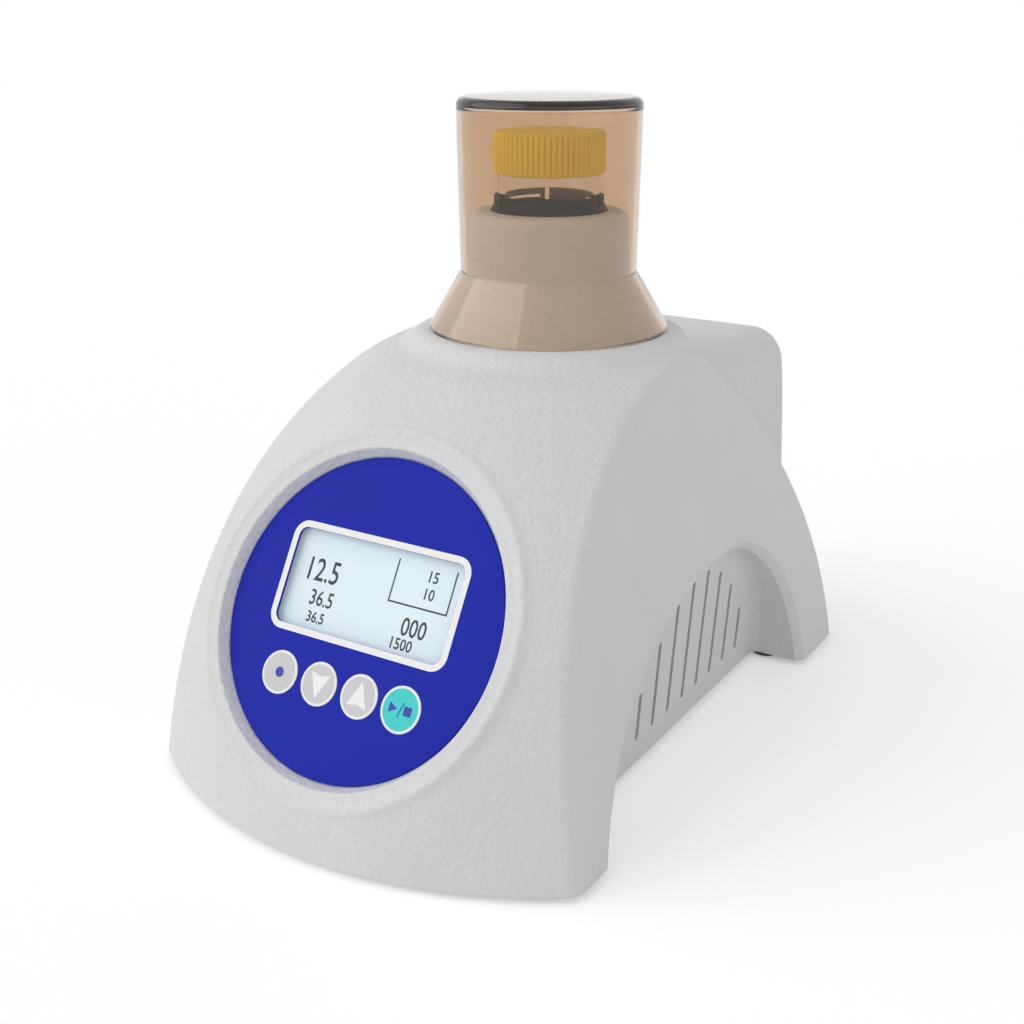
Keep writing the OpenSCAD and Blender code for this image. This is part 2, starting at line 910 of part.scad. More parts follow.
// Ring sector between two angles
module sector(r, h, from, to) {
    linear_extrude(h)
        polygon(concat([[0, 0]], arc(0, 0, r, from, to, 8)));
}

module collet() {
    low = carrier_top;
    flange_low = neck_z - 1.5;
    cone_top = neck_z + collet_flange_h;
    top = neck_z + collet_up;
    guide_r = tube_r + 0.2;
    pitch = 360 / collet_fingers;
    color(collet_black)
        at_axis()
            difference() {
                rotate_extrude($fn = 96)
                    polygon([
                        [guide_r, low], [collet_r, low], [collet_r, flange_low],
                        [collet_flange_r, flange_low], [collet_flange_r, neck_z], [collet_r, cone_top],
                        [collet_r, top], [grip_r, top], [grip_r, neck_z - 1.5], [guide_r, neck_z - 3.7]
                    ]);
                for (i = [0:collet_fingers - 1])
                    rotate([0, 0, collet_turn + i * pitch]) {
                        translate([tube_r - 1, -collet_slit / 2, neck_z + 1.6])
                            cube([5, collet_slit, collet_up]);
                        translate([0, 0, cone_top + 0.3])
                            sector(collet_r + 2, 0.8, 8, pitch * 0.54);
                    }
            }
}

module tube_carrier() {
    bore_r = tube_r + 0.15;
    seat_z = tube_z + tube_tip;
    color("silver")
        at_axis()
            difference() {
                translate([0, 0, carrier_z])
                    cylinder(r = carrier_r - seat_gap, h = carrier_top - carrier_z, $fn = 96);
                rotate_extrude($fn = 96)
                    polygon([
                        [0, tube_z - 0.3], [3.2, tube_z - 0.3], [bore_r, seat_z - 0.3],
                        [bore_r, neck_z], [0, neck_z]
                    ]);
                for (a = [45:90:359])
                    rotate([0, 0, a])
                        translate([bolt_r, 0, carrier_z - 1])
                            cylinder(r = pilot_r, h = 6, $fn = 24);
                translate([-reach / 2, -1.5, thermal_z + 20])
                    cube([reach, 3, 14]);
            }
}

module drive_hub() {
    color("silver")
        at_axis()
            difference() {
                union() {
                    translate([0, 0, hub_z])
                        cylinder(r = hub_r, h = carrier_z - hub_z, $fn = 48);
                    translate([0, 0, carrier_z - hub_flange])
                        cylinder(r = 14, h = hub_flange, $fn = 64);
                }
                translate([0, 0, hub_z - 1])
                    cylinder(r = shaft_r + seat_gap, h = carrier_z - hub_z, $fn = 32);
                for (a = [45:90:359])
                    rotate([0, 0, a])
                        translate([bolt_r, 0, hub_z - 1])
                            cylinder(r = screw_r, h = reach, $fn = 24);
            }
}

module hub_screws() {
    color(steel_grey)
        at_axis()
            for (a = [45:90:359])
                rotate([0, 0, a])
                    translate([bolt_r, 0, carrier_z - hub_flange - screw_head_h])
                        screw(core_r, 2.4, screw_head_h, hub_flange + 4.5);
}

race_t = 1.7;
ball_track = (carrier_r + bearing_r) / 2;

// Groove that the balls run in
module ball_groove() {
    rotate_extrude($fn = 96)
        translate([ball_track, bearing_z + bearing_w / 2])
            circle(r = ball_r + run_gap, $fn = 32);
}

module bearing_outer_ring() {
    color(steel_grey)
        at_axis()
            difference() {
                translate([0, 0, bearing_z])
                    cylinder(r = bearing_r, h = bearing_w, $fn = 96);
                translate([0, 0, bearing_z - 1])
                    cylinder(r = bearing_r - race_t, h = bearing_w + 2, $fn = 96);
                ball_groove();
            }
}

module bearing_inner_ring() {
    color(steel_grey)
        at_axis()
            difference() {
                translate([0, 0, bearing_z])
                    cylinder(r = carrier_r + race_t, h = bearing_w, $fn = 96);
                translate([0, 0, bearing_z - 1])
                    cylinder(r = carrier_r, h = bearing_w + 2, $fn = 96);
                ball_groove();
            }
}

module bearing_balls() {
    color(steel_grey)
        at_axis()
            for (i = [0:ball_count - 1])
                rotate([0, 0, 360 * i / ball_count])
                    translate([ball_track, 0, bearing_z + bearing_w / 2])
                        sphere(r = ball_r, $fn = 32);
}

cage_t = 1.2;
cage_w = 5;

module bearing_cage() {
    color("goldenrod")
        at_axis()
            difference() {
                translate([0, 0, bearing_z + (bearing_w - cage_w) / 2])
                    cylinder(r = ball_track + cage_t / 2, h = cage_w, $fn = 96);
                translate([0, 0, bearing_z])
                    cylinder(r = ball_track - cage_t / 2, h = bearing_w, $fn = 96);
                for (i = [0:ball_count - 1])
                    rotate([0, 0, 360 * i / ball_count])
                        translate([ball_track - cage_t, 0, bearing_z + bearing_w / 2])
                            rotate([0, 90, 0])
                                cylinder(r = ball_r + run_gap, h = 2 * cage_t, $fn = 32);
            }
}

bush_r = 4;
bush_h = 4;
can_t = 1.5;

module motor_case() {
    color("dimgray")
        at_axis()
            difference() {
                translate([0, 0, motor_z])
                    cylinder(r = motor_r, h = motor_len, $fn = 64);
                translate([0, 0, motor_z + can_t])
                    cylinder(r = motor_r - can_t, h = motor_len - 2 * can_t, $fn = 64);
                translate([0, 0, motor_z - 1])
                    cylinder(r = bush_r + seat_gap, h = motor_len + 2, $fn = 32);
                for (a = [0:90:359])
                    rotate([0, 0, a])
                        translate([bolt_r, 0, plate_z - 3])
                            cylinder(r = pilot_r, h = 6, $fn = 24);
            }
}

module motor_coils() {
    color("peru")
        at_axis()
            translate([0, 0, motor_z + can_t + 5])
                difference() {
                    cylinder(r = motor_r - can_t - seat_gap, h = motor_len - 2 * can_t - 10, $fn = 64);
                    translate([0, 0, -1])
                        cylinder(r = motor_r - can_t - 4, h = motor_len, $fn = 64);
                }
}

module motor_bushes() {
    color("goldenrod")
        at_axis()
            for (z = [motor_z, plate_z - bush_h])
                translate([0, 0, z])
                    difference() {
                        cylinder(r = bush_r, h = bush_h, $fn = 32);
                        translate([0, 0, -1])
                            cylinder(r = shaft_r + run_gap, h = bush_h + 2, $fn = 32);
                    }
}

module motor_rotor() {
    color(steel_grey)
        at_axis() {
            translate([0, 0, motor_z + can_t + 6])
                cylinder(r = motor_r - can_t - 4.6, h = motor_len - 2 * can_t - 12, $fn = 64);
            translate([0, 0, motor_z + 0.5])
                cylinder(r = shaft_r, h = carrier_z - 3 - motor_z, $fn = 32);
        }
}

plate_half = post_x + 6;

module motor_plate() {
    color("silver")
        at_axis()
            difference() {
                translate([-plate_half, -plate_half, plate_z])
                    cube([2 * plate_half, 2 * plate_half, plate_t]);
                translate([0, 0, plate_z - 1])
                    cylinder(r = bush_r + 1, h = plate_t + 2, $fn = 32);
                for (p = post_places)
                    translate([p[0], p[1], plate_z - 1])
                        cylinder(r = screw_r + 0.2, h = plate_t + 2, $fn = 24);
                for (a = [0:90:359])
                    rotate([0, 0, a])
                        translate([bolt_r, 0, plate_z - 1])
                            cylinder(r = screw_r, h = plate_t + 2, $fn = 24);
            }
}

module plate_posts() {
    color(steel_grey)
        at_axis()
            for (p = post_places)
                translate([p[0], p[1], tray_z])
                    difference() {
                        cylinder(r = 3.5, h = plate_z - tray_z, $fn = 32);
                        translate([0, 0, -1])
                            cylinder(r = screw_r + seat_gap, h = plate_z, $fn = 24);
                    }
}

// Screws into the posts from both ends, and into the motor from above
module plate_screws() {
    color(steel_grey)
        at_axis() {
            for (p = post_places) {
                translate([p[0], p[1], stand_z + screw_head_h])
                    mirror([0, 0, 1])
                        screw(screw_r, screw_head_r, screw_head_h, plate_t + 6);
                translate([p[0], p[1], base])
                    flush_screw(tray_t + 7);
            }
            for (a = [0:90:359])
                rotate([0, 0, a])
                    translate([bolt_r, 0, stand_z + screw_head_h])
                        mirror([0, 0, 1])
                            screw(core_r, 2.4, screw_head_h, plate_t + 2.5);
        }
}

module block_stand() {
    color("dimgray")
        at_axis()
            translate([0, 0, stand_z])
                difference() {
                    cylinder(r = block_in_r + 4, h = thermal_z - stand_z, $fn = 64);
                    translate([0, 0, -1])
                        cylinder(r = block_in_r, h = reach, $fn = 64);
                    for (a = [45:90:359])
                        rotate([0, 0, a])
                            translate([0, -6, 6])
                                cube([reach, 12, 8]);
                }
}

sensor_z = thermal_z + 12;

module thermal_block() {
    color("silver")
        at_axis()
            difference() {
                translate([0, 0, thermal_z])
                    cylinder(r = block_out_r, h = thermal_len, $fn = 96);
                translate([0, 0, thermal_z - 1])
                    cylinder(r = block_in_r, h = thermal_len + 2, $fn = 96);
                translate([-reach / 2, module_y, thermal_z - 1])
                    cube([reach, reach, thermal_len + 2]);
                translate([0, 0, sensor_z])
                    rotate([0, 90, 0])
                        cylinder(r = 2.5, h = reach, center = true, $fn = 32);
                translate([0, -block_out_r - 1, sensor_z])
                    rotate([-90, 0, 0])
                        cylinder(r = 2 + seat_gap, h = 9, $fn = 32);
            }
}

module foam_jacket() {
    out_r = block_out_r + foam_t;
    color([0.25, 0.25, 0.27])
        at_axis()
            difference() {
                translate([0, 0, thermal_z])
                    cylinder(r = out_r, h = thermal_len, $fn = 96);
                translate([0, 0, thermal_z - 1])
                    cylinder(r = block_out_r + seat_gap, h = thermal_len + 2, $fn = 96);
                translate([-reach / 2, module_y - 2, thermal_z - 1])
                    cube([reach, reach, thermal_len + 2]);
                translate([-reach / 2, -7, sensor_z - 7])
                    cube([reach, 14, 14]);
                translate([0, -out_r - 1, sensor_z])
                    rotate([-90, 0, 0])
                        cylinder(r = 3, h = 2 * foam_t, $fn = 32);
            }
}

module optical_sensor() {
    color(board_green)
        at_axis()
            both_sides()
                translate([0, 0, sensor_z]) {
                    translate([block_out_r + 0.05, -6, -6])
                        cube([board_t, 12, 12]);
                    rotate([0, 90, 0])
                        translate([0, 0, block_in_r + 1])
                            cylinder(r = 2.4, h = block_out_r + 0.1 - block_in_r - 1, $fn = 32);
                }
}

module temperature_probe() {
    color("silver")
        at_axis()
            translate([0, -block_out_r - foam_t + 1, sensor_z])
                rotate([-90, 0, 0])
                    cylinder(r = 2, h = foam_t + 6, $fn = 32);
}

module cooling_module() {
    color("white")
        at_axis()
            translate([-sink_w / 2, module_y, sink_z])
                cube([sink_w, module_t, sink_w]);
}

sink_base = 4;
fin_t = 1.2;

module heat_sink() {
    color("silver")
        at_axis()
            translate([-sink_w / 2, sink_y, sink_z]) {
                cube([sink_w, sink_base, sink_w]);
                for (i = [0:fin_count - 1])
                    translate([i * fin_pitch, sink_base - 0.5, 0])
                        cube([fin_t, sink_d - sink_base + 0.5, sink_w]);
            }
}

fan_z = sink_z + sink_w / 2;
fan_bore = sink_w / 2 - 1.5;
fan_hub = 9;
fan_pin = 1;
fin_pitch = (sink_w - fin_t) / (fin_count - 1);
fan_hole = sink_w / 2 - fin_t / 2 - fin_pitch / 2;

// Puts children on the fan's axis, with Z pointing to the rear
module at_fan() {
    translate([0, axis_y + fan_y, fan_z])
        rotate([-90, 0, 0])
            children();
}

module fan_frame() {
    color([0.15, 0.15, 0.16])
        at_fan()
            difference() {
                union() {
                    difference() {
                        translate([-sink_w / 2, -sink_w / 2, 0])
                            cube([sink_w, sink_w, fan_d]);
                        translate([0, 0, -1])
                            cylinder(r = fan_bore, h = fan_d + 2, $fn = 64);
                    }
                    for (a = [0:120:359])
                        rotate([0, 0, a])
                            translate([fan_hub - 1, -1, fan_d - 1.5])
                                cube([fan_bore + 2 - fan_hub, 2, 1.2]);
                    translate([0, 0, fan_d - 1.8])
                        cylinder(r = fan_hub, h = 1.8, $fn = 48);
                    translate([0, 0, fan_d - 5])
                        cylinder(r = 3, h = 4, $fn = 32);
                }
                translate([0, 0, fan_d - 6])
                    cylinder(r = fan_pin + run_gap, h = 5, $fn = 24);
                for (x = [-fan_hole, fan_hole], y = [-fan_hole, fan_hole])
                    translate([x, y, -1])
                        cylinder(r = screw_r, h = fan_d + 2, $fn = 24);
            }
}

module fan_rotor() {
    color([0.18, 0.18, 0.19])
        at_fan() {
            difference() {
                translate([0, 0, 0.8])
                    cylinder(r = fan_hub, h = fan_d - 3, $fn = 48);
                translate([0, 0, 2])
                    cylinder(r = fan_hub - 1, h = fan_d, $fn = 48);
            }
            translate([0, 0, 1.5])
                cylinder(r = fan_pin, h = fan_d - 4, $fn = 24);
            for (i = [0:blade_count - 1])
                rotate([0, 0, 360 * i / blade_count])
                    translate([fan_hub - 0.5, 0, fan_d / 2 - 0.7])
                        rotate([35, 0, 0])
                            translate([0, -3.6, -0.5])
                                cube([fan_bore - fan_hub - 0.6, 7.2, 1]);
        }
}

module fan_screws() {
    color(steel_grey)
        at_fan()
            for (x = [-fan_hole, fan_hole], y = [-fan_hole, fan_hole])
                translate([x, y, fan_d + screw_head_h])
                    mirror([0, 0, 1])
                        screw(screw_r - 0.1, 2.6, screw_head_h, fan_d + 6);
}

module panel_overlay() {
    color(panel_blue)
        at_panel()
            difference() {
                translate([0, 0, -panel_t])
                    cylinder(r = panel_r, h = panel_t, $fn = 96);
                translate([0, window_up, -2])
                    linear_extrude(4)
                        rounded_rect(window_w, window_h, window_round);
                for (i = [0:key_count - 1])
                    translate([key_places[i][0], key_places[i][1], -2])
                        cylinder(r = key_radius(i) + key_gap, h = 4, $fn = 48);
            }
}

module display_glass() {
    color([0.85, 0.94, 0.95])
        at_panel()
            translate([0, window_up, glass_z])
                linear_extrude(glass_t)
                    rounded_rect(glass_w, glass_h, window_round);
}

module_deep = spacer_len - 1;

module display_module() {
    color(steel_grey)
        at_panel()
            translate([0, window_up, 0]) {
                translate([-glass_w / 2 - 2, -glass_h / 2 - 2, floor_z - 0.05 - module_deep])
                    cube([glass_w + 4, glass_h + 4, module_deep]);
                translate([0, 0, floor_z - 0.1])
                    linear_extrude(glass_z - floor_z + 0.08)
                        rounded_rect(glass_w, glass_h, window_round);
            }
}

module control_board() {
    color(board_green)
        at_panel()
            difference() {
                translate([0, board_up, -board_depth])
                    linear_extrude(board_t)
                        rounded_rect(board_w, board_l, 10);
                for (p = spacer_places)
                    translate([p[0], p[1], -board_depth - 1])
                        cylinder(r = screw_r, h = board_t + 2, $fn = 24);
            }
}

// Spacers between the housing and the control board, each with its screw
module board_spacers() {
    color("dimgray")
        at_panel()
            for (p = spacer_places)
                translate([p[0], p[1], -board_depth - screw_head_h]) {
                    screw(screw_r - 0.1, 2.6, screw_head_h, board_t + 1);
                    translate([0, 0, screw_head_h + board_t + 0.02])
                        cylinder(r = 3, h = spacer_len - 0.04, $fn = 32);
                }
}

switch_body = 6;
key_flange_t = 0.8;
key_flange_top = floor_z - 0.2;
plunger_top = key_flange_top - key_flange_t - key_travel - 0.1;

module tact_switches() {
    color([0.15, 0.15, 0.15])
        at_panel()
            for (p = key_places)
                translate([p[0], p[1], -board_depth + board_t]) {
                    translate([-switch_body / 2, -switch_body / 2, 0])
                        cube([switch_body, switch_body, 3.4]);
                    cylinder(r = 1.7, h = plunger_top + board_depth - board_t, $fn = 24);
                }
}

// A key: a pad through the panel, with a flange that holds it in
module key(i, shade) {
    r = key_radius(i);
    color(shade)
        at_panel()
            translate([key_places[i][0], key_places[i][1], 0])
                rotate_extrude($fn = 64)
                    polygon([
                        [0, key_flange_top - key_flange_t], [r + 0.7, key_flange_top - key_flange_t],
                        [r + 0.7, key_flange_top], [r, key_flange_top], [r, key_proud - 0.15],
                        [r - 0.3, key_proud], [0, key_proud]
                    ]);
}

module select_key() {
    key(0, key_grey);
}

module down_key() {
    key(1, key_grey);
}

module up_key() {
    key(2, key_grey);
}

module start_key() {
    key(3, key_turquoise);
}

module main_board() {
    color(board_green)
        at_axis()
            difference() {
                translate([-main_w / 2, main_y - main_l / 2, main_z])
                    cube([main_w, main_l, board_t]);
                for (p = board_posts)
                    translate([p[0], p[1], main_z - 1])
                        cylinder(r = screw_r, h = board_t + 2, $fn = 24);
            }
}

module board_parts() {
    color([0.2, 0.2, 0.22])
        at_axis()
            translate([0, main_y, main_z + board_t]) {
                for (x = [-20, -8, 4])
                    translate([x, 14, 0])
                        cylinder(r = 4, h = 11, $fn = 32);
                translate([-24, -14, 0])
                    cube([14, 14, 1.6]);
                translate([0, -16, 0])
                    cube([10, 8, 2.4]);
                translate([14, 4, 0])
                    cube([12, 16, 8]);
                translate([-12, -main_l / 2 + 2, 0])
                    cube([24, 5, 6]);
            }
}

module board_screws() {
    color(steel_grey)
        at_axis()
            for (p = board_posts)
                translate([p[0], p[1], main_z + board_t + screw_head_h])
                    mirror([0, 0, 1])
                        screw(core_r, 2.6, screw_head_h, board_t + 4);
}

// Flat cable from the main board's header up to the control board's lower edge
module ribbon_cable() {
    header_y = main_y - main_l / 2 + 4.5;
    header_z = main_z + board_t + 6;
    drop = -board_depth - 0.1;
    plug_up = board_up + 6 - board_l / 2;
    end_y = -panel_y + plug_up * sin(panel_tilt) - drop * cos(panel_tilt);
    end_z = base + panel_h + plug_up * cos(panel_tilt) + drop * sin(panel_tilt);
    t = 0.9;
    color("lightgray")
        at_axis()
            along_x(-10, 10)
                polygon([
                    [header_y - t / 2, header_z], [header_y + t / 2, header_z],
                    [header_y + t / 2, header_z + 4], [end_y + 3, end_z - 5],
                    [end_y + t * cos(panel_tilt), end_z - t * sin(panel_tilt)],
                    [end_y, end_z], [end_y + 3 - t, end_z - 6], [header_y - t / 2, header_z + 4]
                ]);
}

socket_back = block_y - 14;

module socket_board() {
    color(board_green)
        at_axis()
            translate([-32, socket_back - board_t, socket_z - 14])
                cube([64, board_t, 28]);
}

module usb_socket() {
    front = block_y + 0.6;
    color(steel_grey)
        at_axis()
            difference() {
                translate([-usb_w / 2, socket_back, socket_z - usb_h / 2])
                    cube([usb_w, front - socket_back, usb_h]);
                translate([1 - usb_w / 2, front - 10, socket_z - usb_h / 2 + 1])
                    cube([usb_w - 2, 11, usb_h - 2]);
            }
}

module power_inlet() {
    front = block_y + 1;
    color([0.12, 0.12, 0.13])
        at_axis()
            translate([-inlet_x, socket_back, socket_z])
                rotate([-90, 0, 0]) {
                    difference() {
                        union() {
                            cylinder(r = inlet_r, h = front - socket_back, $fn = 48);
                            translate([0, 0, block_y - socket_back + 0.02])
                                cylinder(r = inlet_r + 1.2, h = front - block_y, $fn = 48);
                        }
                        translate([0, 0, front - socket_back - 9])
                            cylinder(r = 3.2, h = 10, $fn = 32);
                    }
                    translate([0, 0, front - socket_back - 9.5])
                        cylinder(r = 1, h = 8.5, $fn = 24);
                }
}

rocker_w = switch_w - 6;
rocker_half = switch_h / 2 - 1.7;
pivot_y = block_y - 2.5;
rocker_pin = 1;

// Rocker: seen from its side a wide V that tilts on its pin
module rocker_shape() {
    along_x(-rocker_w / 2, rocker_w / 2)
        polygon([
            [-2.5, 0], [-1, -rocker_half + 0.8], [4.4, -rocker_half], [3.2, 0], [4.4, rocker_half],
            [-1, rocker_half - 0.8]
        ]);
}

module power_switch() {
    color([0.12, 0.12, 0.13])
        at_axis()
            translate([-switch_x, 0, socket_z])
                difference() {
                    union() {
                        translate([-switch_w / 2, socket_back, -switch_h / 2])
                            cube([switch_w, block_y - socket_back + 0.5, switch_h]);
                        translate([-switch_w / 2 - 1.2, block_y + 0.02, -switch_h / 2 - 1.2])
                            cube([switch_w + 2.4, 1.4, switch_h + 2.4]);
                    }
                    translate([-rocker_w / 2 - fit_gap, pivot_y - 5, -switch_h / 2 + 0.7])
                        cube([rocker_w + 2 * fit_gap, reach, switch_h - 1.4]);
                    translate([-rocker_w / 2 - 2.2, pivot_y, 0])
                        rotate([0, 90, 0])
                            cylinder(r = rocker_pin + run_gap, h = rocker_w + 4.4, $fn = 32);
                }
}

module power_rocker() {
    color([0.1, 0.1, 0.11])
        at_axis()
            translate([-switch_x, pivot_y, socket_z])
                rotate([-rocker_tilt, 0, 0]) {
                    rocker_shape();
                    rotate([0, 90, 0])
                        cylinder(r = rocker_pin, h = rocker_w + 4, center = true, $fn = 32);
                }
}

upper_housing();
base_tray();
rubber_feet();
case_screws();
cover();
tube_cap();
vent_membrane();
culture_tube();
collet();
tube_carrier();
drive_hub();
hub_screws();
bearing_outer_ring();
bearing_inner_ring();
bearing_balls();
bearing_cage();
motor_case();
motor_coils();
motor_bushes();
motor_rotor();
motor_plate();
plate_posts();
plate_screws();
block_stand();
thermal_block();
foam_jacket();
cooling_module();
heat_sink();
fan_frame();
fan_rotor();
fan_screws();
optical_sensor();
temperature_probe();
panel_overlay();
display_glass();
display_module();
control_board();
board_spacers();
tact_switches();
select_key();
down_key();
up_key();
start_key();
main_board();
board_parts();
board_screws();
ribbon_cable();
socket_board();
usb_socket();
power_inlet();
power_switch();
power_rocker();
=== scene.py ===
import math

import bmesh
import bpy
import numpy as np
from mathutils import Matrix, Vector


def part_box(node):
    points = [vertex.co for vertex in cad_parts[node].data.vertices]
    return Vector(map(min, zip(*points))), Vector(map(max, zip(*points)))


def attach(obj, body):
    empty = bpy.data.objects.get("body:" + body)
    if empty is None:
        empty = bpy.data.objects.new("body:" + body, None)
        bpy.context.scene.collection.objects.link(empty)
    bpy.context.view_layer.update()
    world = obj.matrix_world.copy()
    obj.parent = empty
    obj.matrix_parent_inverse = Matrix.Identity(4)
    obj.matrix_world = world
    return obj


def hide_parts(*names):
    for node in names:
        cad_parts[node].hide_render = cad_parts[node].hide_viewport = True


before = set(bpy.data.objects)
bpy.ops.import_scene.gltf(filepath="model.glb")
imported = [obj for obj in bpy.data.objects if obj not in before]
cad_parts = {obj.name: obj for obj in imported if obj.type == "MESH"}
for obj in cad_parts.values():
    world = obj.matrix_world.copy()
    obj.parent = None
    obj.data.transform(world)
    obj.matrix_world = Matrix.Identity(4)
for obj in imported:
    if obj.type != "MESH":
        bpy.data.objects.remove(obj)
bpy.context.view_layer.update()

# Lengths below are in millimetres round the tube axis: +Z up from the housing's lower edge,
# the panel towards -Y. TO_FRAME takes them to the frame's metres.
MM = 0.001
cover_low, cover_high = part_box("cover")
housing_low, housing_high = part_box("upper_housing")
tube_axis = Vector(((housing_low.x + housing_high.x) / 2, (cover_low.y + cover_high.y) / 2,
                    housing_low.z))
TO_FRAME = Matrix.Translation(tube_axis) @ Matrix.Scale(MM, 4)
FROM_FRAME = TO_FRAME.inverted()


def box_of(node):
    """A node's box in millimetres round the tube axis."""
    low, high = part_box(node)
    return FROM_FRAME @ low, FROM_FRAME @ high


def centre_of(node):
    """The middle of a node's box, in the same millimetres."""
    low, high = box_of(node)
    return (low + high) / 2


# Heights that come from the frame: the housing's flat top, the neck's, the cover's and the cap's.
TOP = box_of("cover")[0].z
NECK_TOP = box_of("upper_housing")[1].z
COVER_TOP = box_of("cover")[1].z
CAP_LOW, CAP_HIGH = box_of("tube_cap")

# Housing: its walls, the bosses of its screws and the tray that closes it.
WALL = 2.6
TRAY_TOP = 2.5
BOSS_R = 4.2
BOSS_TOP = 20.75
PILOT_R = 1.52

# Housing: the dome's lean and place, the curved rear, and the rounding where faces meet.
DOME_LEAN = math.radians(12.8)
DOME_BACK = 1.6
REAR = box_of("upper_housing")[1].y
REAR_CURVE = 166.0
TOP_ROUND = 9.0
CREASE_ROUND = 3.0
REAR_ROUND = 4.0

# Housing: flat sides and vent walls as half width, narrowing to the rear, and lean with height.
SIDE_HALF = 69.417
SIDE_TAPER = 0.08373
SIDE_LEAN = 0.15624
VENT_HALF = 49.5
VENT_TAPER = 0.084
VENT_LEAN = -0.0772
VENT_T = 2.4

# Housing: round shoulder, cone and neck.
SHOULDER_R = 45.5
SHOULDER_ROUND = 6.5
SHOULDER_FILL = 3.0
CONE_FOOT = 35.6
CONE_TOP = TOP + 17.9
NECK_R = 25.6
NECK_TOP_R = 25.0
NECK_BORE = 18.4
BEARING_R = 23.52

# Housing: the socket block.
BLOCK_W = 38.0
BLOCK_HIGH = TOP - 13.1
BLOCK_REAR = 96.0
BLOCK_DRAFT = math.tan(math.radians(2.5))
BLOCK_BEND = 12.0
BLOCK_EDGE = 1.4

# ---------------------------------------------------------------- shapes


def curve(ends_and_handles, steps):
    """Points of a cubic curve."""
    a, b, c, d = (np.array(p, float) for p in ends_and_handles)
    t = np.linspace(0, 1, steps + 1)[:, None]
    return (1 - t) ** 3 * a + 3 * t * (1 - t) ** 2 * b + 3 * t * t * (1 - t) * c + t ** 3 * d


def rounded(corners, steps=5):
    """Corners given as (x, y, radius), with an arc put in at each radius."""
    line = []
    around = zip(corners[-1:] + corners[:-1], corners, corners[1:] + corners[:1])
    for before, corner, after in around:
        here = Vector(corner[:2])
        if corner[2] == 0:
            line.append(tuple(here))
            continue
        back = (Vector(before[:2]) - here).normalized()
        on = (Vector(after[:2]) - here).normalized()
        half = back.angle(on) / 2
        centre = here + (back + on).normalized() * (corner[2] / math.sin(half))
        reach = corner[2] / math.tan(half)
        first = (here + back * reach - centre).normalized()
        last = (here + on * reach - centre).normalized()
        arc = (first.slerp(last, i / steps) for i in range(steps + 1))
        line += [tuple(centre + way * corner[2]) for way in arc]
    return line


def tidy(bm):
    """Merges doubled vertices and turns the faces outwards."""
    bmesh.ops.remove_doubles(bm, verts=bm.verts, dist=1e-4)
    bmesh.ops.recalc_face_normals(bm, faces=bm.faces)
    return bm


def lathe(profile, steps=128):
    """A body turned round Z from a closed line of (radius, height) points."""
    bm = bmesh.new()
    verts = [bm.verts.new((r, 0, z)) for r, z in profile]
    pairs = zip(verts, verts[1:] + verts[:1])
    edges = [bm.edges.new(pair) for pair in pairs if any(v.co.x > 0 for v in pair)]
    bmesh.ops.spin(bm, geom=verts + edges, cent=(0, 0, 0), axis=(0, 0, 1),
                   angle=2 * math.pi, steps=steps, use_merge=True)
    loose = [f for f in bm.faces if f.calc_area() < 1e-9]
    bmesh.ops.delete(bm, geom=loose, context="FACES_ONLY")
    return tidy(bm)


def prism(outline, depth):
    """A flat outline in XY raised along Z."""
    bm = bmesh.new()
    face = bm.faces.new([bm.verts.new((x, y, 0)) for x, y in outline])
    grown = bmesh.ops.extrude_face_region(bm, geom=[face])
    top = [v for v in grown["geom"] if isinstance(v, bmesh.types.BMVert)]
    bmesh.ops.translate(bm, verts=top, vec=(0, 0, depth))
    return tidy(bm)


def drum(radius, low, high, x=0.0, y=0.0, steps=64):
    """An upright cylinder from low to high."""
    bm = bmesh.new()
    bmesh.ops.create_cone(bm, cap_ends=True, segments=steps, radius1=radius, radius2=radius,
                          depth=high - low, matrix=Matrix.Translation((x, y, (low + high) / 2)))
    return bm


def brick(low, high):
    """A plain box between two corners."""
    bm = bmesh.new()
    low, high = Vector(low), Vector(high)
    size = Matrix.Diagonal((*(high - low), 1))
    bmesh.ops.create_cube(bm, size=1, matrix=Matrix.Translation((low + high) / 2) @ size)
    return bm


def turned(bm, matrix):
    """The same bmesh, moved and turned by a matrix."""
    bmesh.ops.transform(bm, matrix=matrix, verts=bm.verts)
    if matrix.determinant() < 0:
        bmesh.ops.recalc_face_normals(bm, faces=bm.faces)
    return bm


def soft_edges(bm, width, angle=40, segments=3):
    """Rounds every edge sharper than angle."""
    limit = math.radians(angle)
    sharp = [e for e in bm.edges if len(e.link_faces) == 2 and e.calc_face_angle() > limit]
    bmesh.ops.bevel(bm, geom=sharp, offset=width, offset_type="OFFSET", segments=segments,
                    profile=0.5, affect="EDGES", clamp_overlap=True, material=-1)
    return bm


MIRROR = Matrix.Scale(-1, 4, (1, 0, 0))


def solid(bm):
    """A working body, still in millimetres."""
    mesh = bpy.data.meshes.new("working")
    bm.to_mesh(mesh)
    bm.free()
    body = bpy.data.objects.new("working", mesh)
    bpy.context.scene.collection.objects.link(body)
    return body


def combine(body, bm, way="DIFFERENCE"):
    """Cuts a tool from a working body, or joins it on."""
    tool = solid(bm) if isinstance(bm, bmesh.types.BMesh) else bm
    step = body.modifiers.new("step", "BOOLEAN")
    step.operation = way
    step.solver = "MANIFOLD"
    step.object = tool
    ready = body.evaluated_get(bpy.context.evaluated_depsgraph_get())
    mesh = bpy.data.meshes.new_from_object(ready)
    body.modifiers.clear()
    body.data = mesh
    bpy.data.objects.remove(tool)
    return body


def as_bmesh(body):
    """Takes a working body's mesh back, and removes the body."""
    bm = bmesh.new()
    bm.from_mesh(body.data)
    bpy.data.objects.remove(body)
    return bm


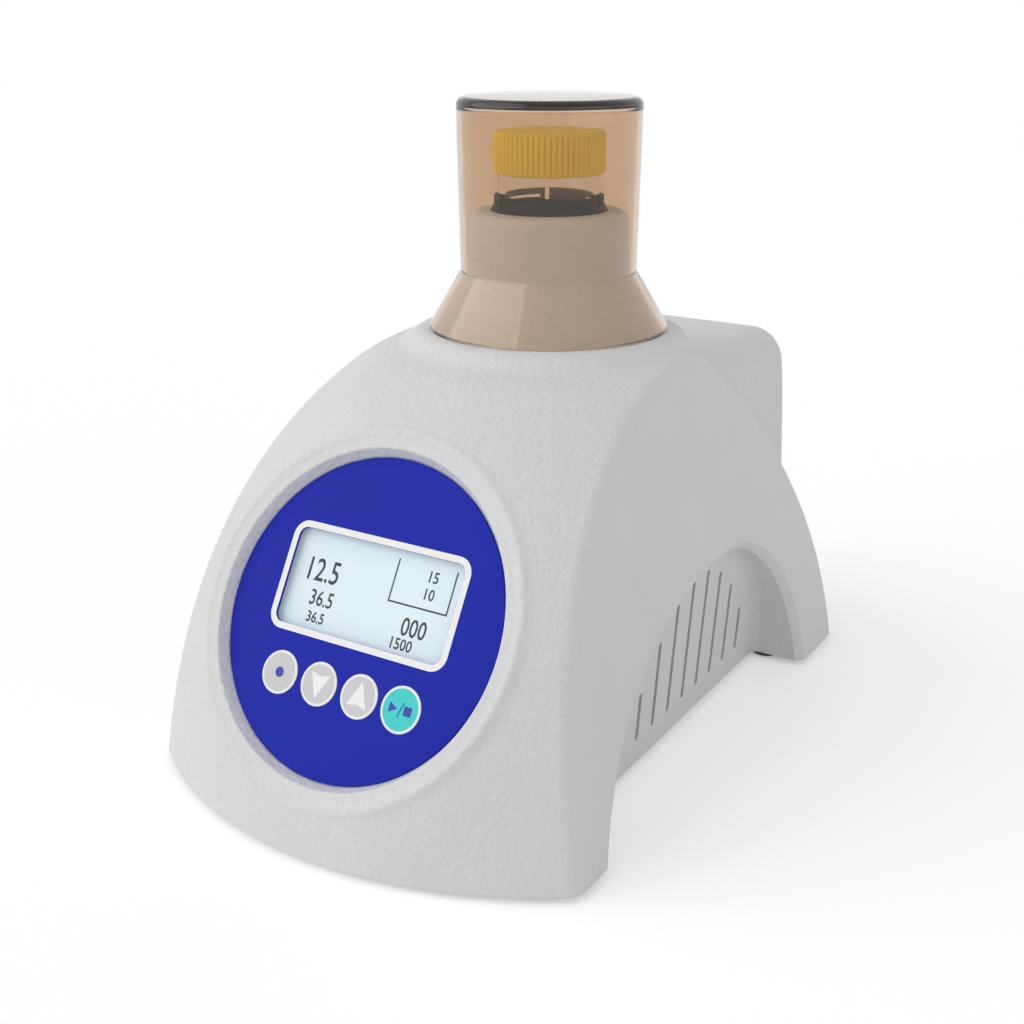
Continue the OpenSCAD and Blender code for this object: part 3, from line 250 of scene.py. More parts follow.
def piece(name, bm, body, finish, replaces=(), smooth=35, place=TO_FRAME):
    """A finished piece on its body, with its finish's material and slot."""
    limit = math.radians(smooth)
    for edge in bm.edges:
        edge.smooth = len(edge.link_faces) == 2 and edge.calc_face_angle() < limit
    for face in bm.faces:
        face.smooth = True
    bmesh.ops.transform(bm, matrix=place, verts=bm.verts)
    mesh = bpy.data.meshes.new(name)
    bm.to_mesh(mesh)
    bm.free()
    made = bpy.data.objects.new(name, mesh)
    bpy.context.scene.collection.objects.link(made)
    mesh.materials.append(FINISHES[finish])
    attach(made, body)
    if replaces:
        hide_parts(*replaces)
    return made


# ---------------------------------------------------------------- finishes


def give(made, **inputs):
    """Sets a node's inputs, named with _ for each space."""
    for name, value in inputs.items():
        made.inputs[name.replace("_", " ")].default_value = value
    return made


def material(name, **inputs):
    """A new material, its node tree, and its surface shader with inputs set."""
    made = bpy.data.materials.new(name)
    made.use_nodes = True
    return made, made.node_tree, give(made.node_tree.nodes["Principled BSDF"], **inputs)


def node(tree, kind, **settings):
    """A new shader node with its settings."""
    made = tree.nodes.new(kind)
    for key, value in settings.items():
        setattr(made, key, value)
    return made


def wire(tree, source, output, target, entry):
    """Links an output to an input, and gives the node that takes it."""
    tree.links.new(source.outputs[output], target.inputs[entry])
    return target


# Noise lies mostly between these two values.
NOISE_LOW = 0.3
NOISE_HIGH = 0.7
# A wave texture's scale counts in turns of about this many.
WAVE_TURN = 6.28


def figured(tree, way, *entries):
    """A Math node. Each entry is a number, or a node and its output."""
    made = node(tree, "ShaderNodeMath", operation=way)
    for i, entry in enumerate(entries):
        if isinstance(entry, tuple):
            wire(tree, *entry, made, i)
        else:
            made.inputs[i].default_value = entry
    return made


def grain(tree, size, detail=3.0, kind="ShaderNodeTexNoise", **settings):
    """Noise or waves whose features are about size millimetres across."""
    place = node(tree, "ShaderNodeTexCoord")
    made = give(node(tree, kind, **settings), Scale=1000.0 / size, Detail=detail)
    return wire(tree, place, "Object", made, "Vector")


def shade_between(tree, factor, output, dark, light):
    """A colour that runs from dark to light with a node's output."""
    ramp = node(tree, "ShaderNodeValToRGB")
    ramp.color_ramp.elements[0].position = NOISE_LOW
    ramp.color_ramp.elements[0].color = (*dark, 1)
    ramp.color_ramp.elements[1].position = NOISE_HIGH
    ramp.color_ramp.elements[1].color = (*light, 1)
    return wire(tree, factor, output, ramp, "Fac")


def span(tree, factor, output, low, high):
    """A number that runs from low to high with a node's output."""
    made = give(node(tree, "ShaderNodeMapRange"), From_Min=NOISE_LOW, From_Max=NOISE_HIGH,
                To_Min=low, To_Max=high)
    return wire(tree, factor, output, made, "Value")


def relief(tree, shader, factor, output, depth, strength=1.0):
    """Bumps depth millimetres deep."""
    bump = give(node(tree, "ShaderNodeBump"), Strength=strength, Distance=depth * MM)
    wire(tree, factor, output, bump, "Height")
    wire(tree, bump, "Normal", shader, "Normal")


def tinted(colour, by):
    """A colour made lighter or darker, kept within what a screen can show."""
    return tuple(max(0.0, min(1.0, c * by)) for c in colour)


def moulded(name, colour, rough=0.45, size=0.8, depth=0.02, vary=0.04, gloss=0.5):
    """Moulded, painted or cast stuff: a fine relief, and a colour and gloss that vary a little."""
    made, tree, shader = material(name, Specular_IOR_Level=gloss)
    cloud = grain(tree, size * 12, 4.0)
    fine = grain(tree, size, 3.0)
    tone = shade_between(tree, cloud, "Fac", tinted(colour, 1 - vary), tinted(colour, 1 + vary))
    wire(tree, tone, "Color", shader, "Base Color")
    dull = span(tree, fine, "Fac", rough * 0.9, min(1.0, rough * 1.12))
    wire(tree, dull, "Result", shader, "Roughness")
    relief(tree, shader, fine, "Fac", depth)
    return made


def turned_metal(name, colour, rough=0.25, line=0.25, vary=0.06):
    """Machined metal with fine tool lines round the tube axis."""
    made, tree, shader = material(name, Metallic=1.0)
    lines = grain(tree, line, 2.0, "ShaderNodeTexWave", wave_type="RINGS", rings_direction="Z")
    give(lines, Distortion=1.5)
    cloud = grain(tree, 9.0, 4.0)
    tone = shade_between(tree, cloud, "Fac", tinted(colour, 1 - vary), tinted(colour, 1 + vary))
    wire(tree, tone, "Color", shader, "Base Color")
    gloss = span(tree, cloud, "Fac", rough * 0.8, rough * 1.3)
    wire(tree, gloss, "Result", shader, "Roughness")
    relief(tree, shader, lines, "Fac", 0.01, 0.4)
    return made


def striped(name, dark, light, width, direction="X", rough=0.4, metallic=0.0):
    """Stripes across one direction: windings, ribbon wires, board tracks."""
    made, tree, shader = material(name, Metallic=metallic)
    bands = grain(tree, width * WAVE_TURN, 1.0, "ShaderNodeTexWave", bands_direction=direction)
    give(bands, Distortion=0.3)
    tone = shade_between(tree, bands, "Fac", dark, light)
    wire(tree, tone, "Color", shader, "Base Color")
    fine = grain(tree, 1.0)
    gloss = span(tree, fine, "Fac", rough * 0.85, rough * 1.2)
    wire(tree, gloss, "Result", shader, "Roughness")
    relief(tree, shader, bands, "Fac", 0.1, 0.6)
    return made


def housing_finish():
    """Leather-grained white moulding. The grain fades to a quarter on the two flat sides."""
    grain_size, grain_depth, side_depth = 1.7, 0.5, 0.25
    fade_from, fade_to = 0.0012, 0.0004
    made, tree, shader = material("housing_white", Specular_IOR_Level=0.35)
    place = node(tree, "ShaderNodeTexCoord")
    parts = wire(tree, place, "Object", node(tree, "ShaderNodeSeparateXYZ"), "Vector")
    half = figured(tree, "ABSOLUTE", (parts, "X"))
    folded = wire(tree, half, "Value", node(tree, "ShaderNodeCombineXYZ"), "X")
    wire(tree, parts, "Y", folded, "Y")
    wire(tree, parts, "Z", folded, "Z")
    lean = node(tree, "ShaderNodeVectorMath", operation="DOT_PRODUCT")
    lean.inputs[1].default_value = (1.0, SIDE_TAPER, SIDE_LEAN)
    wire(tree, folded, "Vector", lean, 0)
    flat = SIDE_HALF * MM + SIDE_TAPER * tube_axis.y + SIDE_LEAN * housing_low.z
    mask = give(node(tree, "ShaderNodeMapRange"), From_Min=flat - fade_from,
                From_Max=flat - fade_to, To_Min=1.0, To_Max=side_depth)
    wire(tree, lean, "Value", mask, "Value")
    fine = grain(tree, grain_size, 2.0)
    height = figured(tree, "MULTIPLY", (fine, "Fac"), (mask, "Result"))
    relief(tree, shader, height, "Value", grain_depth, 1.0)
    cloud = grain(tree, 30.0, 3.0)
    tone = shade_between(tree, cloud, "Fac", (0.76, 0.765, 0.77), (0.785, 0.787, 0.79))
    wire(tree, tone, "Color", shader, "Base Color")
    gloss = span(tree, fine, "Fac", 0.5, 0.62)
    wire(tree, gloss, "Result", shader, "Roughness")
    return made


def clear_finish(name, tint, shadow, ior=1.49, rough=0.02, dark=None, level=0.5):
    """Clear or smoked plastic. Lamplight and scattered light pass in the shadow's tint."""
    made, tree, shader = material(
        name, Transmission_Weight=1.0, IOR=ior, Specular_IOR_Level=level)
    cloud = grain(tree, 25.0, 2.0)
    tone = shade_between(tree, cloud, "Fac", tinted(tint, 0.985), tinted(tint, 1.015))
    wire(tree, tone, "Color", shader, "Base Color")
    gloss = span(tree, cloud, "Fac", rough * 0.6, rough * 1.4)
    wire(tree, gloss, "Result", shader, "Roughness")
    through = give(node(tree, "ShaderNodeBsdfTransparent"), Color=(*shadow, 1))
    path = node(tree, "ShaderNodeLightPath")
    light = figured(tree, "MAXIMUM", (path, "Is Shadow Ray"), (path, "Is Diffuse Ray"))
    mix = wire(tree, light, "Value", node(tree, "ShaderNodeMixShader"), "Fac")
    wire(tree, shader, "BSDF", mix, 1)
    wire(tree, through, "BSDF", mix, 2)
    output = wire(tree, mix, "Shader", tree.nodes["Material Output"], "Surface")
    if dark:
        smoke = node(tree, "ShaderNodeVolumeAbsorption")
        give(smoke, Color=(*dark[0], 1), Density=dark[1])
        wire(tree, smoke, "Volume", output, "Volume")
    return made


def make_finishes():
    """One material for each slot of the frame."""
    return {
        "housing_white": housing_finish(),
        "foot_rubber": moulded("foot_rubber", (0.05, 0.05, 0.052), 0.75, 0.6, 0.03, 0.12),
        "screw_steel": turned_metal("screw_steel", (0.62, 0.62, 0.63), 0.3),
        "cover_smoke": clear_finish("cover_smoke", (0.76, 0.6, 0.46), (1.0, 0.99, 0.98),
                                    dark=((0.5, 0.42, 0.36), 70.0), level=0.2),
        "cap_yellow": moulded("cap_yellow", (0.98, 0.71, 0.03), 0.45, 1.5, 0.006, 0.03, 0.2),
        "membrane_white": moulded("membrane_white", (0.78, 0.78, 0.77), 0.85, 0.2, 0.03),
        "tube_clear": clear_finish("tube_clear", (0.97, 0.975, 0.98), (0.97, 0.97, 0.97), 1.4),
        "collet_black": moulded("collet_black", (0.01, 0.006, 0.006), 0.45, 2.5, 0.002, 0.1, 0.1),
        "carrier_alloy": turned_metal("carrier_alloy", (0.72, 0.73, 0.75), 0.28),
        "bearing_steel": turned_metal("bearing_steel", (0.6, 0.6, 0.61), 0.18),
        "cage_brass": turned_metal("cage_brass", (0.75, 0.55, 0.24), 0.3),
        "motor_steel": turned_metal("motor_steel", (0.55, 0.55, 0.56), 0.32),
        "coil_copper": striped("coil_copper", (0.3, 0.1, 0.03), (0.8, 0.36, 0.16), 0.5, "Z", 0.3,
                               1.0),
        "inner_plastic": moulded("inner_plastic", (0.06, 0.06, 0.065), 0.55, 0.8, 0.02, 0.1),
        "foam_grey": moulded("foam_grey", (0.05, 0.05, 0.055), 0.9, 0.5, 0.2, 0.2),
        "ceramic_white": moulded("ceramic_white", (0.75, 0.75, 0.73), 0.6, 0.4, 0.01),
        "black_plastic": moulded("black_plastic", (0.02, 0.02, 0.022), 0.4, 0.6, 0.02, 0.12),
        "board_green": striped("board_green", (0.01, 0.09, 0.03), (0.015, 0.16, 0.06), 1.2, "X",
                               0.35),
        "overlay_blue": moulded("overlay_blue", (0.014, 0.026, 0.43), 0.5, 0.5, 0.004, 0.02, 0.1),
        "display_glass": clear_finish("display_glass", (0.99, 0.995, 0.995), (1, 1, 1), 1.12),
        "display_frame": moulded("display_frame", (0.6, 0.62, 0.62), 0.5, 0.8, 0.02),
        "key_grey": moulded("key_grey", (0.67, 0.66, 0.67), 0.5, 0.4, 0.004, 0.015),
        "key_turquoise": moulded("key_turquoise", (0.04, 0.68, 0.66), 0.5, 0.4, 0.004, 0.02),
        "ribbon_grey": striped("ribbon_grey", (0.3, 0.3, 0.31), (0.55, 0.55, 0.56), 1.27, "X", 0.5),
    }


FINISHES = make_finishes()
PRINT_WHITE = moulded("print_white", (0.96, 0.96, 0.96), 0.5, 0.4, 0.003, 0.01)
PRINT_BLUE = moulded("print_blue", (0.02, 0.045, 0.45), 0.5, 0.4, 0.003, 0.02)
PICTURE_PALE = moulded("picture_pale", (0.76, 0.9, 0.92), 0.55, 0.6, 0.002, 0.015, 0.1)
PICTURE_INK = moulded("picture_ink", (0.06, 0.08, 0.085), 0.6, 0.3, 0.002, 0.06, 0.1)


def light_picture():
    """The display's pale ground is lit a little from behind."""
    shader = PICTURE_PALE.node_tree.nodes["Principled BSDF"]
    give(shader, Emission_Color=(0.76, 0.9, 0.92, 1), Emission_Strength=0.12)


def finish_cad_nodes():
    """Gives each CAD node that stays the finish of its slot."""
    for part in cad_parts.values():
        for held in part.material_slots:
            held.material = FINISHES[held.material.name.split(".")[0]]


# ---------------------------------------------------------------- housing


def soft_max(a, b, r):
    """The inside of both, with their edge rounded to radius r."""
    corner = (a > -r) & (b > -r)
    return np.where(corner, np.hypot(a + r, b + r) - r, np.maximum(a, b))


def soft_min(a, b, r):
    """The inside of either, with their corner filled to radius r."""
    return -soft_max(-a, -b, r)


# The dome's outline as (radius, place along its leaning axis), and how its radius changes.
DOME = curve(((127.5, -30), (133.2, 43), (115, TOP - 30.4), (38.5, TOP + 2.9)), 240)
DOME_SLOPE = np.gradient(DOME[:, 0], DOME[:, 1])
SIDE_NORM = math.sqrt(1 + SIDE_LEAN ** 2 + SIDE_TAPER ** 2)

# The panel's face: its middle, the way up it, the way out of it, and its place.
panel_low, panel_high = box_of("panel_overlay")
PANEL_TILT = math.radians(29.2)
PANEL_R = (panel_high.x - panel_low.x) / 2
PANEL_CENTRE = Vector((0, panel_low.y + PANEL_R * math.sin(PANEL_TILT),
                       panel_high.z - PANEL_R * math.cos(PANEL_TILT)))
PANEL_UP = Vector((0, math.sin(PANEL_TILT), math.cos(PANEL_TILT)))
PANEL_OUT = Vector((1, 0, 0)).cross(PANEL_UP)
PANEL = Matrix.Translation(PANEL_CENTRE) @ Matrix((
    (1, PANEL_UP.x, PANEL_OUT.x, 0),
    (0, PANEL_UP.y, PANEL_OUT.y, 0),
    (0, PANEL_UP.z, PANEL_OUT.z, 0),
    (0, 0, 0, 1)))

# The raised ring round the panel: its height, middle radius, crown and blend into the dome.
LAND_H = 3.0
LAND_R = 53.5
LAND_CROWN = 1.2
LAND_ROUND = 1.8
LAND_FILL = 2.5
# The slope down from the ring to the panel, and its rounding above and below.
LAND_IN = (0.9, 0.45)
LAND_IN_ROUND = 1.5
LAND_IN_FILL = 2.0


def dome_distance(x, y, z):
    """How far outside the leaning front dome a point lies."""
    back = y - DOME_BACK
    along = back * math.sin(DOME_LEAN) + z * math.cos(DOME_LEAN)
    across = z * math.sin(DOME_LEAN) - back * math.cos(DOME_LEAN)
    radius = np.interp(along, DOME[:, 1], DOME[:, 0])
    slope = np.interp(along, DOME[:, 1], DOME_SLOPE)
    return (np.hypot(x, across) - radius) / np.sqrt(1 + slope ** 2)


def side_distance(x, y, z):
    """How far outside the nearer flat side a point lies."""
    return (np.abs(x) - SIDE_HALF + SIDE_TAPER * y + SIDE_LEAN * z) / SIDE_NORM


def panel_place(points):
    """Distance from the panel's axis, and height above its face."""
    away = points - np.array(PANEL_CENTRE)
    height = away @ np.array(PANEL_OUT)
    up = away @ np.array(PANEL_UP)
    return np.hypot(away[:, 0], up), height


def body_distance(points, with_panel=True):
    """How far outside the housing's main body each point lies."""
    x, y, z = points.T
    rear = (y - REAR + z * z / REAR_CURVE) / np.sqrt(1 + (2 * z / REAR_CURVE) ** 2)
    body = soft_max(dome_distance(x, y, z), z - TOP, TOP_ROUND)
    body = soft_max(body, side_distance(x, y, z), CREASE_ROUND)
    body = soft_max(body, rear, REAR_ROUND)
    shoulder = soft_max(np.hypot(x, y) - SHOULDER_R, z - TOP, SHOULDER_ROUND)
    body = np.maximum(soft_min(body, shoulder, SHOULDER_FILL), z - TOP)
    if not with_panel:
        return body
    away, height = panel_place(points)
    land = soft_max(away - LAND_R - LAND_CROWN, height - LAND_H, LAND_ROUND)
    body = np.where(height > -20, soft_min(body, land, LAND_FILL), body)
    inward = LAND_IN[0] * (away - LAND_R) - LAND_IN[1] * (height - LAND_H)
    mouth = soft_max(LAND_H - height, inward, LAND_IN_ROUND)
    return np.where(away < LAND_R + 20, soft_max(body, -mouth, LAND_IN_FILL), body)


# A point inside the housing from which every part of its surface is in sight.
BODY_MIDDLE = np.array((0.0, 10.0, 0.0))


def drawn_to(bm, distance, centre):
    """Moves every vertex along its line from the centre until it lies on the surface."""
    farthest, halvings = 400.0, 36
    at = np.array([v.co for v in bm.verts])
    line = at - centre
    line /= np.linalg.norm(line, axis=1)[:, None]
    near = np.zeros(len(at))
    far = np.full(len(at), farthest)
    for _ in range(halvings):
        middle = (near + far) / 2
        outside = distance(centre + line * middle[:, None]) > 0
        far = np.where(outside, middle, far)
        near = np.where(outside, near, middle)
    for vert, place in zip(bm.verts, centre + line * near[:, None]):
        vert.co = place


def open_box(cells, centre):
    """A box without its lower half, divided into cells, round the housing's middle."""
    bm = bmesh.new()
    size = Matrix.Diagonal((140, 240, 2 * TOP, 1))
    bmesh.ops.create_cube(bm, size=1, matrix=Matrix.Translation(centre) @ size)
    bmesh.ops.subdivide_edges(bm, edges=bm.edges[:], cuts=cells - 1, use_grid_fill=True)
    below = [v for v in bm.verts if v.co.z < centre[2] - 0.01]
    bmesh.ops.delete(bm, geom=below, context="VERTS")
    return bm


def close_foot(bm):
    """Closes the open lower edge with a flat face."""
    rim = [e for e in bm.edges if e.is_boundary]
    bmesh.ops.holes_fill(bm, edges=rim, sides=0)
    return tidy(bm)


def refine(bm, wanted, cuts):
    """Divides the edges whose both ends are wanted."""
    at = np.array([v.co for v in bm.verts])
    keep = wanted(at)
    bm.verts.index_update()
    edges = [e for e in bm.edges if keep[e.verts[0].index] and keep[e.verts[1].index]]
    bmesh.ops.subdivide_edges(bm, edges=edges, cuts=cuts, use_grid_fill=True)


def at_land(points):
    """True round the raised ring."""
    away, height = panel_place(points)
    return (away > LAND_R - 3.5) & (away < LAND_R + 7) & (height > -6)


def at_crease(points):
    """True where the dome meets a flat side."""
    near = -2.6
    x, y, z = points.T
    return (dome_distance(x, y, z) > near) & (side_distance(x, y, z) > near) & (z < TOP - 6)


def outer_shell():
    """The housing's outside, with finer faces at the ring and the creases."""
    bm = open_box(132, BODY_MIDDLE)
    drawn_to(bm, body_distance, BODY_MIDDLE)
    refine(bm, at_land, 2)
    refine(bm, at_crease, 1)
    drawn_to(bm, body_distance, BODY_MIDDLE)
    return close_foot(bm)


def inner_shell(inset):
    """The housing's inside, further in by the inset."""
    middle = BODY_MIDDLE - np.array((0, 0, 1.0))
    bm = open_box(40, middle)
    drawn_to(bm, lambda points: body_distance(points, False) + inset, middle)
    return close_foot(bm)


def block(inset, low, edge=0.0):
    """The socket block behind the tube."""
    wide = BLOCK_W - inset
    high = BLOCK_HIGH - inset
    foot = wide + (high - low) * BLOCK_DRAFT
    bend = BLOCK_BEND - inset
    corners = [(foot, low, 0), (wide, high, bend), (-wide, high, bend), (-foot, low, 0)]
    bm = prism(rounded(corners, 12), BLOCK_REAR - inset)
    stand = Matrix.Rotation(math.radians(90), 4, "X") @ Matrix.Scale(-1, 4, (0, 0, 1))
    turned(bm, stand)
    if edge:
        rim = [e for e in bm.edges if all(v.co.y > BLOCK_REAR - inset - 0.01 and v.co.z > low + 0.1
                                          for v in e.verts)]
        bmesh.ops.bevel(bm, geom=rim, offset=edge, offset_type="OFFSET", segments=4, profile=0.5,
                        affect="EDGES", clamp_overlap=True, material=-1)
    return tidy(bm)


def neck():
    """Cone and neck, rooted in the dome below them."""
    root, waist_round, top_round = TOP - 12, 1.5, 3.6
    profile = rounded([
        (0, root, 0), (CONE_FOOT, root, 0), (CONE_FOOT, TOP, 0), (NECK_R, CONE_TOP, waist_round),
        (NECK_TOP_R, NECK_TOP, top_round), (0, NECK_TOP, 0)], 8)
    return lathe(profile, 160)


def neck_hollow():
    """The room inside shoulder, cone and neck, with the bearing's seat and the lip over it."""
    low, lip, seat = TOP - 41, 1.5, 9
    room = SHOULDER_R - WALL
    return lathe([(0, low), (room, low), (room, TOP - SHOULDER_ROUND),
                  (SHOULDER_R - SHOULDER_ROUND, TOP - WALL), (CONE_FOOT - WALL - 1, TOP - WALL),
                  (BEARING_R, CONE_TOP - seat), (BEARING_R, CONE_TOP), (BEARING_R - lip, CONE_TOP),
                  (BEARING_R - lip, NECK_TOP - WALL), (0, NECK_TOP - WALL)], 96)


# The side arch: where it starts at the foot, where its top and quarter circle begin, its height.
ARCH_FRONT = 83.0
ARCH_MID = 15.5
ARCH_H = 56.5


def arch_line():
    """The side arch's outline as (y, z), with the outward direction at each point."""
    front = curve(((-ARCH_FRONT, 0), (15 - ARCH_FRONT, ARCH_H - 12), (-ARCH_MID - 6, ARCH_H),
                   (ARCH_MID, ARCH_H)), 28)
    turn = np.radians(np.linspace(90, 0, 25))[1:, None]
    back = np.hstack((ARCH_MID + ARCH_H * np.cos(turn), ARCH_H * np.sin(turn)))
    line = np.vstack((front, back))
    ahead = np.gradient(line, axis=0)
    ahead[-1] = (0, -1)
    out = np.column_stack((-ahead[:, 1], ahead[:, 0]))
    out /= np.linalg.norm(out, axis=1)[:, None]
    first, last = line[0] - 12 * ahead[0] / np.linalg.norm(ahead[0]), line[-1] - (0, 12)
    return np.vstack((first, line, last)), np.vstack((out[:1], out, out[-1:]))


def arch_tool(levels):
    """The arch as a body on the right. Each level is (growth, where), with where from y and z."""
    line, out = arch_line()
    bm = bmesh.new()
    rings = []
    for growth, where in levels:
        verts = [bm.verts.new((where(y, z), y, z)) for y, z in line + out * growth]
        rings.append([bm.edges.new(pair) for pair in zip(verts, verts[1:] + verts[:1])])
    for first, last in zip(rings, rings[1:]):
        bmesh.ops.bridge_loops(bm, edges=first + last)
    for end in (rings[0], rings[-1]):
        bmesh.ops.holes_fill(bm, edges=end, sides=0)
    return tidy(bm)


def side_face(y, z):
    """Where the right flat side lies."""
    return SIDE_HALF - SIDE_TAPER * y - SIDE_LEAN * z


def vent_face(y, z):
    """Where the outside of the right vent wall lies."""
    return VENT_HALF - VENT_TAPER * y - VENT_LEAN * z


def arch_cut():
    """The arch's room, with a hollow corner at the vent wall and a bevelled outer rim."""
    corner, rim = 3.0, 2.7
    levels = []
    for step in range(6):
        turn = math.radians(90 * step / 5)
        growth = corner * (math.sin(turn) - 1)
        depth = corner * (1 - math.cos(turn))
        levels.append((growth, lambda y, z, depth=depth: vent_face(y, z) + depth))
    levels.append((0.0, lambda y, z: side_face(y, z) - rim * SIDE_NORM))
    levels.append((rim, side_face))
    levels.append((rim + 25, lambda y, z: side_face(y, z) + 25))
    return arch_tool(levels)


def arch_walls():
    """What stays solid round the arch."""
    outside = 120.0
    return arch_tool([(WALL, lambda y, z: vent_face(y, z) - VENT_T), (WALL, lambda y, z: outside)])


def vent_slots():
    """The slots of the right vent wall."""
    made = bmesh.new()
    count, pitch, half, low, high = 8, 11.6, 1.1, 8.5, 51.0
    fall, start, reach = 0.016, 38, 40
    for i in range(count):
        y = (i - (count - 1) / 2) * pitch
        peak = high - y * y * fall
        left, right, bend = ARCH_MID - 4 + y - half, ARCH_MID - 4 + y + half, half * 0.99
        slot = prism(rounded([(left, low, bend), (right, low, bend), (right, peak, bend),
                              (left, peak, bend)], 6), reach)
        turned(slot, Matrix(((0, 0, 1, start), (1, 0, 0, 0), (0, 1, 0, 0), (0, 0, 0, 1))))
        mesh = bpy.data.meshes.new("slot")
        slot.to_mesh(mesh)
        slot.free()
        made.from_mesh(mesh)
        bpy.data.meshes.remove(mesh)
    return tidy(made)


def screw_places():
    """Middle of each case screw."""
    points = [FROM_FRAME @ v.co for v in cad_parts["case_screws"].data.vertices]
    middle = centre_of("case_screws").y
    places = []
    for side in (-1, 1):
        for end in (-1, 1):
            group = [p for p in points if p.x * side > 0 and (p.y - middle) * end > 0]
            ways = [[p[i] for p in group] for i in (0, 1)]
            places.append([(min(way) + max(way)) / 2 for way in ways])
    return places


# On the panel, from its middle: keys, window, the floor behind the film and the recess's mouth.
KEY_PITCH = 14.85
KEY_DOWN = 21.2
KEY_RADII = (6.2, 6.2, 6.2, 6.5)
KEY_GAP = 0.25
WINDOW = (60.5, 28.8)
WINDOW_BEND = 3
WINDOW_UP = 7.4
FILM_T = 0.8
PANEL_FLOOR = -3.0
MOUTH_R = 49.35
MOUTH_ROUND = 0.9


def rectangle(width, height, bend, up=0.0, steps=8):
    """A rectangle's outline with round corners."""
    side, low, high = width / 2, up - height / 2, up + height / 2
    return rounded([(side, low, bend), (side, high, bend), (-side, high, bend),
                    (-side, low, bend)], steps)


def key_spot(i):
    """The middle of a key, counted from the left."""
    return (i - 1.5) * KEY_PITCH, -KEY_DOWN


def panel_cuts():
    """Tools that open the panel's recess, window and key holes."""
    rim, clear_r, clear_z = LAND_H + 0.02, 52, LAND_H + 9
    recess = rounded([
        (0, -FILM_T, 0), (PANEL_R + 0.1, -FILM_T, 0), (MOUTH_R, rim, MOUTH_ROUND),
        (clear_r, rim, 0), (clear_r, clear_z, 0), (0, clear_z, 0)], 6)
    yield turned(lathe(recess, 192), PANEL)
    window = prism(rectangle(WINDOW[0] + 3.2, WINDOW[1] + 3.2, 3.3, WINDOW_UP), 8)
    yield turned(window, PANEL @ Matrix.Translation((0, 0, PANEL_FLOOR - 1)))
    for i, radius in enumerate(KEY_RADII):
        x, y = key_spot(i)
        yield turned(drum(radius + KEY_GAP, PANEL_FLOOR - 1, 1, x, y), PANEL)


def rear_cuts():
    """Tools that open the holes for the switch and the two sockets."""
    switch, usb, inlet = (centre_of(n) for n in ("power_switch", "usb_socket", "power_inlet"))
    reach, inlet_r = 4, 5.8
    for at, wide, high in ((switch, 19.6, 13.6), (usb, 12.6, 11.6)):
        yield brick((at.x - wide / 2, BLOCK_REAR - reach, at.z - high / 2),
                    (at.x + wide / 2, BLOCK_REAR + reach, at.z + high / 2))
    hole = drum(inlet_r, -6, 6)
    turned(hole, Matrix.Rotation(math.radians(90), 4, "X"))
    yield turned(hole, Matrix.Translation((inlet.x, BLOCK_REAR, inlet.z)))


def both(make):
    """A tool for the right and its mirror image for the left."""
    yield make()
    yield turned(make(), MIRROR)


def housing_hollow():
    """The room inside the housing."""
    room = solid(inner_shell(WALL))
    combine(room, block(WALL, -1.0), "UNION")
    combine(room, neck_hollow(), "UNION")
    combine(room, turned(drum(LAND_R - 2.2, PANEL_FLOOR, 30, steps=128), PANEL))
    for tool in both(arch_walls):
        combine(room, tool)
    for x, y in screw_places():
        combine(room, drum(BOSS_R, TRAY_TOP + 0.25, BOSS_TOP, x, y, 32))
    return room


def make_housing():
    """The white housing: the dome, the socket block and the neck in one, hollow and cut open."""
    body = solid(outer_shell())
    combine(body, block(0.0, 0.0, BLOCK_EDGE), "UNION")
    combine(body, neck(), "UNION")
    combine(body, housing_hollow())
    for tool in both(arch_cut):
        combine(body, tool)
    for tool in both(vent_slots):
        combine(body, tool)
    combine(body, drum(NECK_BORE, NECK_TOP - 5.2, NECK_TOP + 5, steps=128))
    for x, y in screw_places():
        combine(body, drum(PILOT_R, TRAY_TOP - 1, TRAY_TOP + 15, x, y, 24))
    for tool in rear_cuts():
        combine(body, tool)
    for tool in panel_cuts():
        combine(body, tool)
    made = piece("housing_shell", as_bmesh(body), "housing", "housing_white", ["upper_housing"], 30)
    follow_body(made)
    return made


def follow_body(made):
    """Takes the shading of the moulded surface from its true form, and leaves the cuts alone."""
    half_step, skin, square = 0.05, 0.03, 0.8
    mesh = made.data
    count = len(mesh.vertices)
    at = np.empty(count * 3)
    mesh.vertices.foreach_get("co", at)
    at = at.reshape(-1, 3)
    turn = np.array(FROM_FRAME.to_3x3())
    at = at @ turn.T + np.array(FROM_FRAME.translation)
    away = body_distance(at)
    slope = np.empty((count, 3))
    for i in range(3):
        step = np.zeros(3)
        step[i] = half_step
        slope[:, i] = body_distance(at + step) - body_distance(at - step)
    slope /= np.linalg.norm(slope, axis=1)[:, None] + 1e-12
    loops = len(mesh.loops)
    vert_of = np.empty(loops, int)
    mesh.loops.foreach_get("vertex_index", vert_of)
    shade = np.empty(loops * 3)
    mesh.corner_normals.foreach_get("vector", shade)
    shade = shade.reshape(-1, 3)
    faces = len(mesh.polygons)
    start, size = np.empty(faces, int), np.empty(faces, int)
    mesh.polygons.foreach_get("loop_start", start)
    mesh.polygons.foreach_get("loop_total", size)
    facing = np.empty(faces * 3)
    mesh.polygons.foreach_get("normal", facing)
    face_of = np.repeat(np.arange(faces), size)
    order = np.argsort(start, kind="stable")
    face_of = np.repeat(order, size[order])
    along = (slope[vert_of] * facing.reshape(-1, 3)[face_of]).sum(1)
    on_face = np.ones(faces, bool)
    off = (np.abs(away[vert_of]) > skin) | (along < square)
    on_face[face_of[off]] = False
    keep = on_face[face_of]
    shade[keep] = slope[vert_of][keep]
    mesh.normals_split_custom_set(shade.tolist())


# ---------------------------------------------------------------- cover, cap, tube and collet


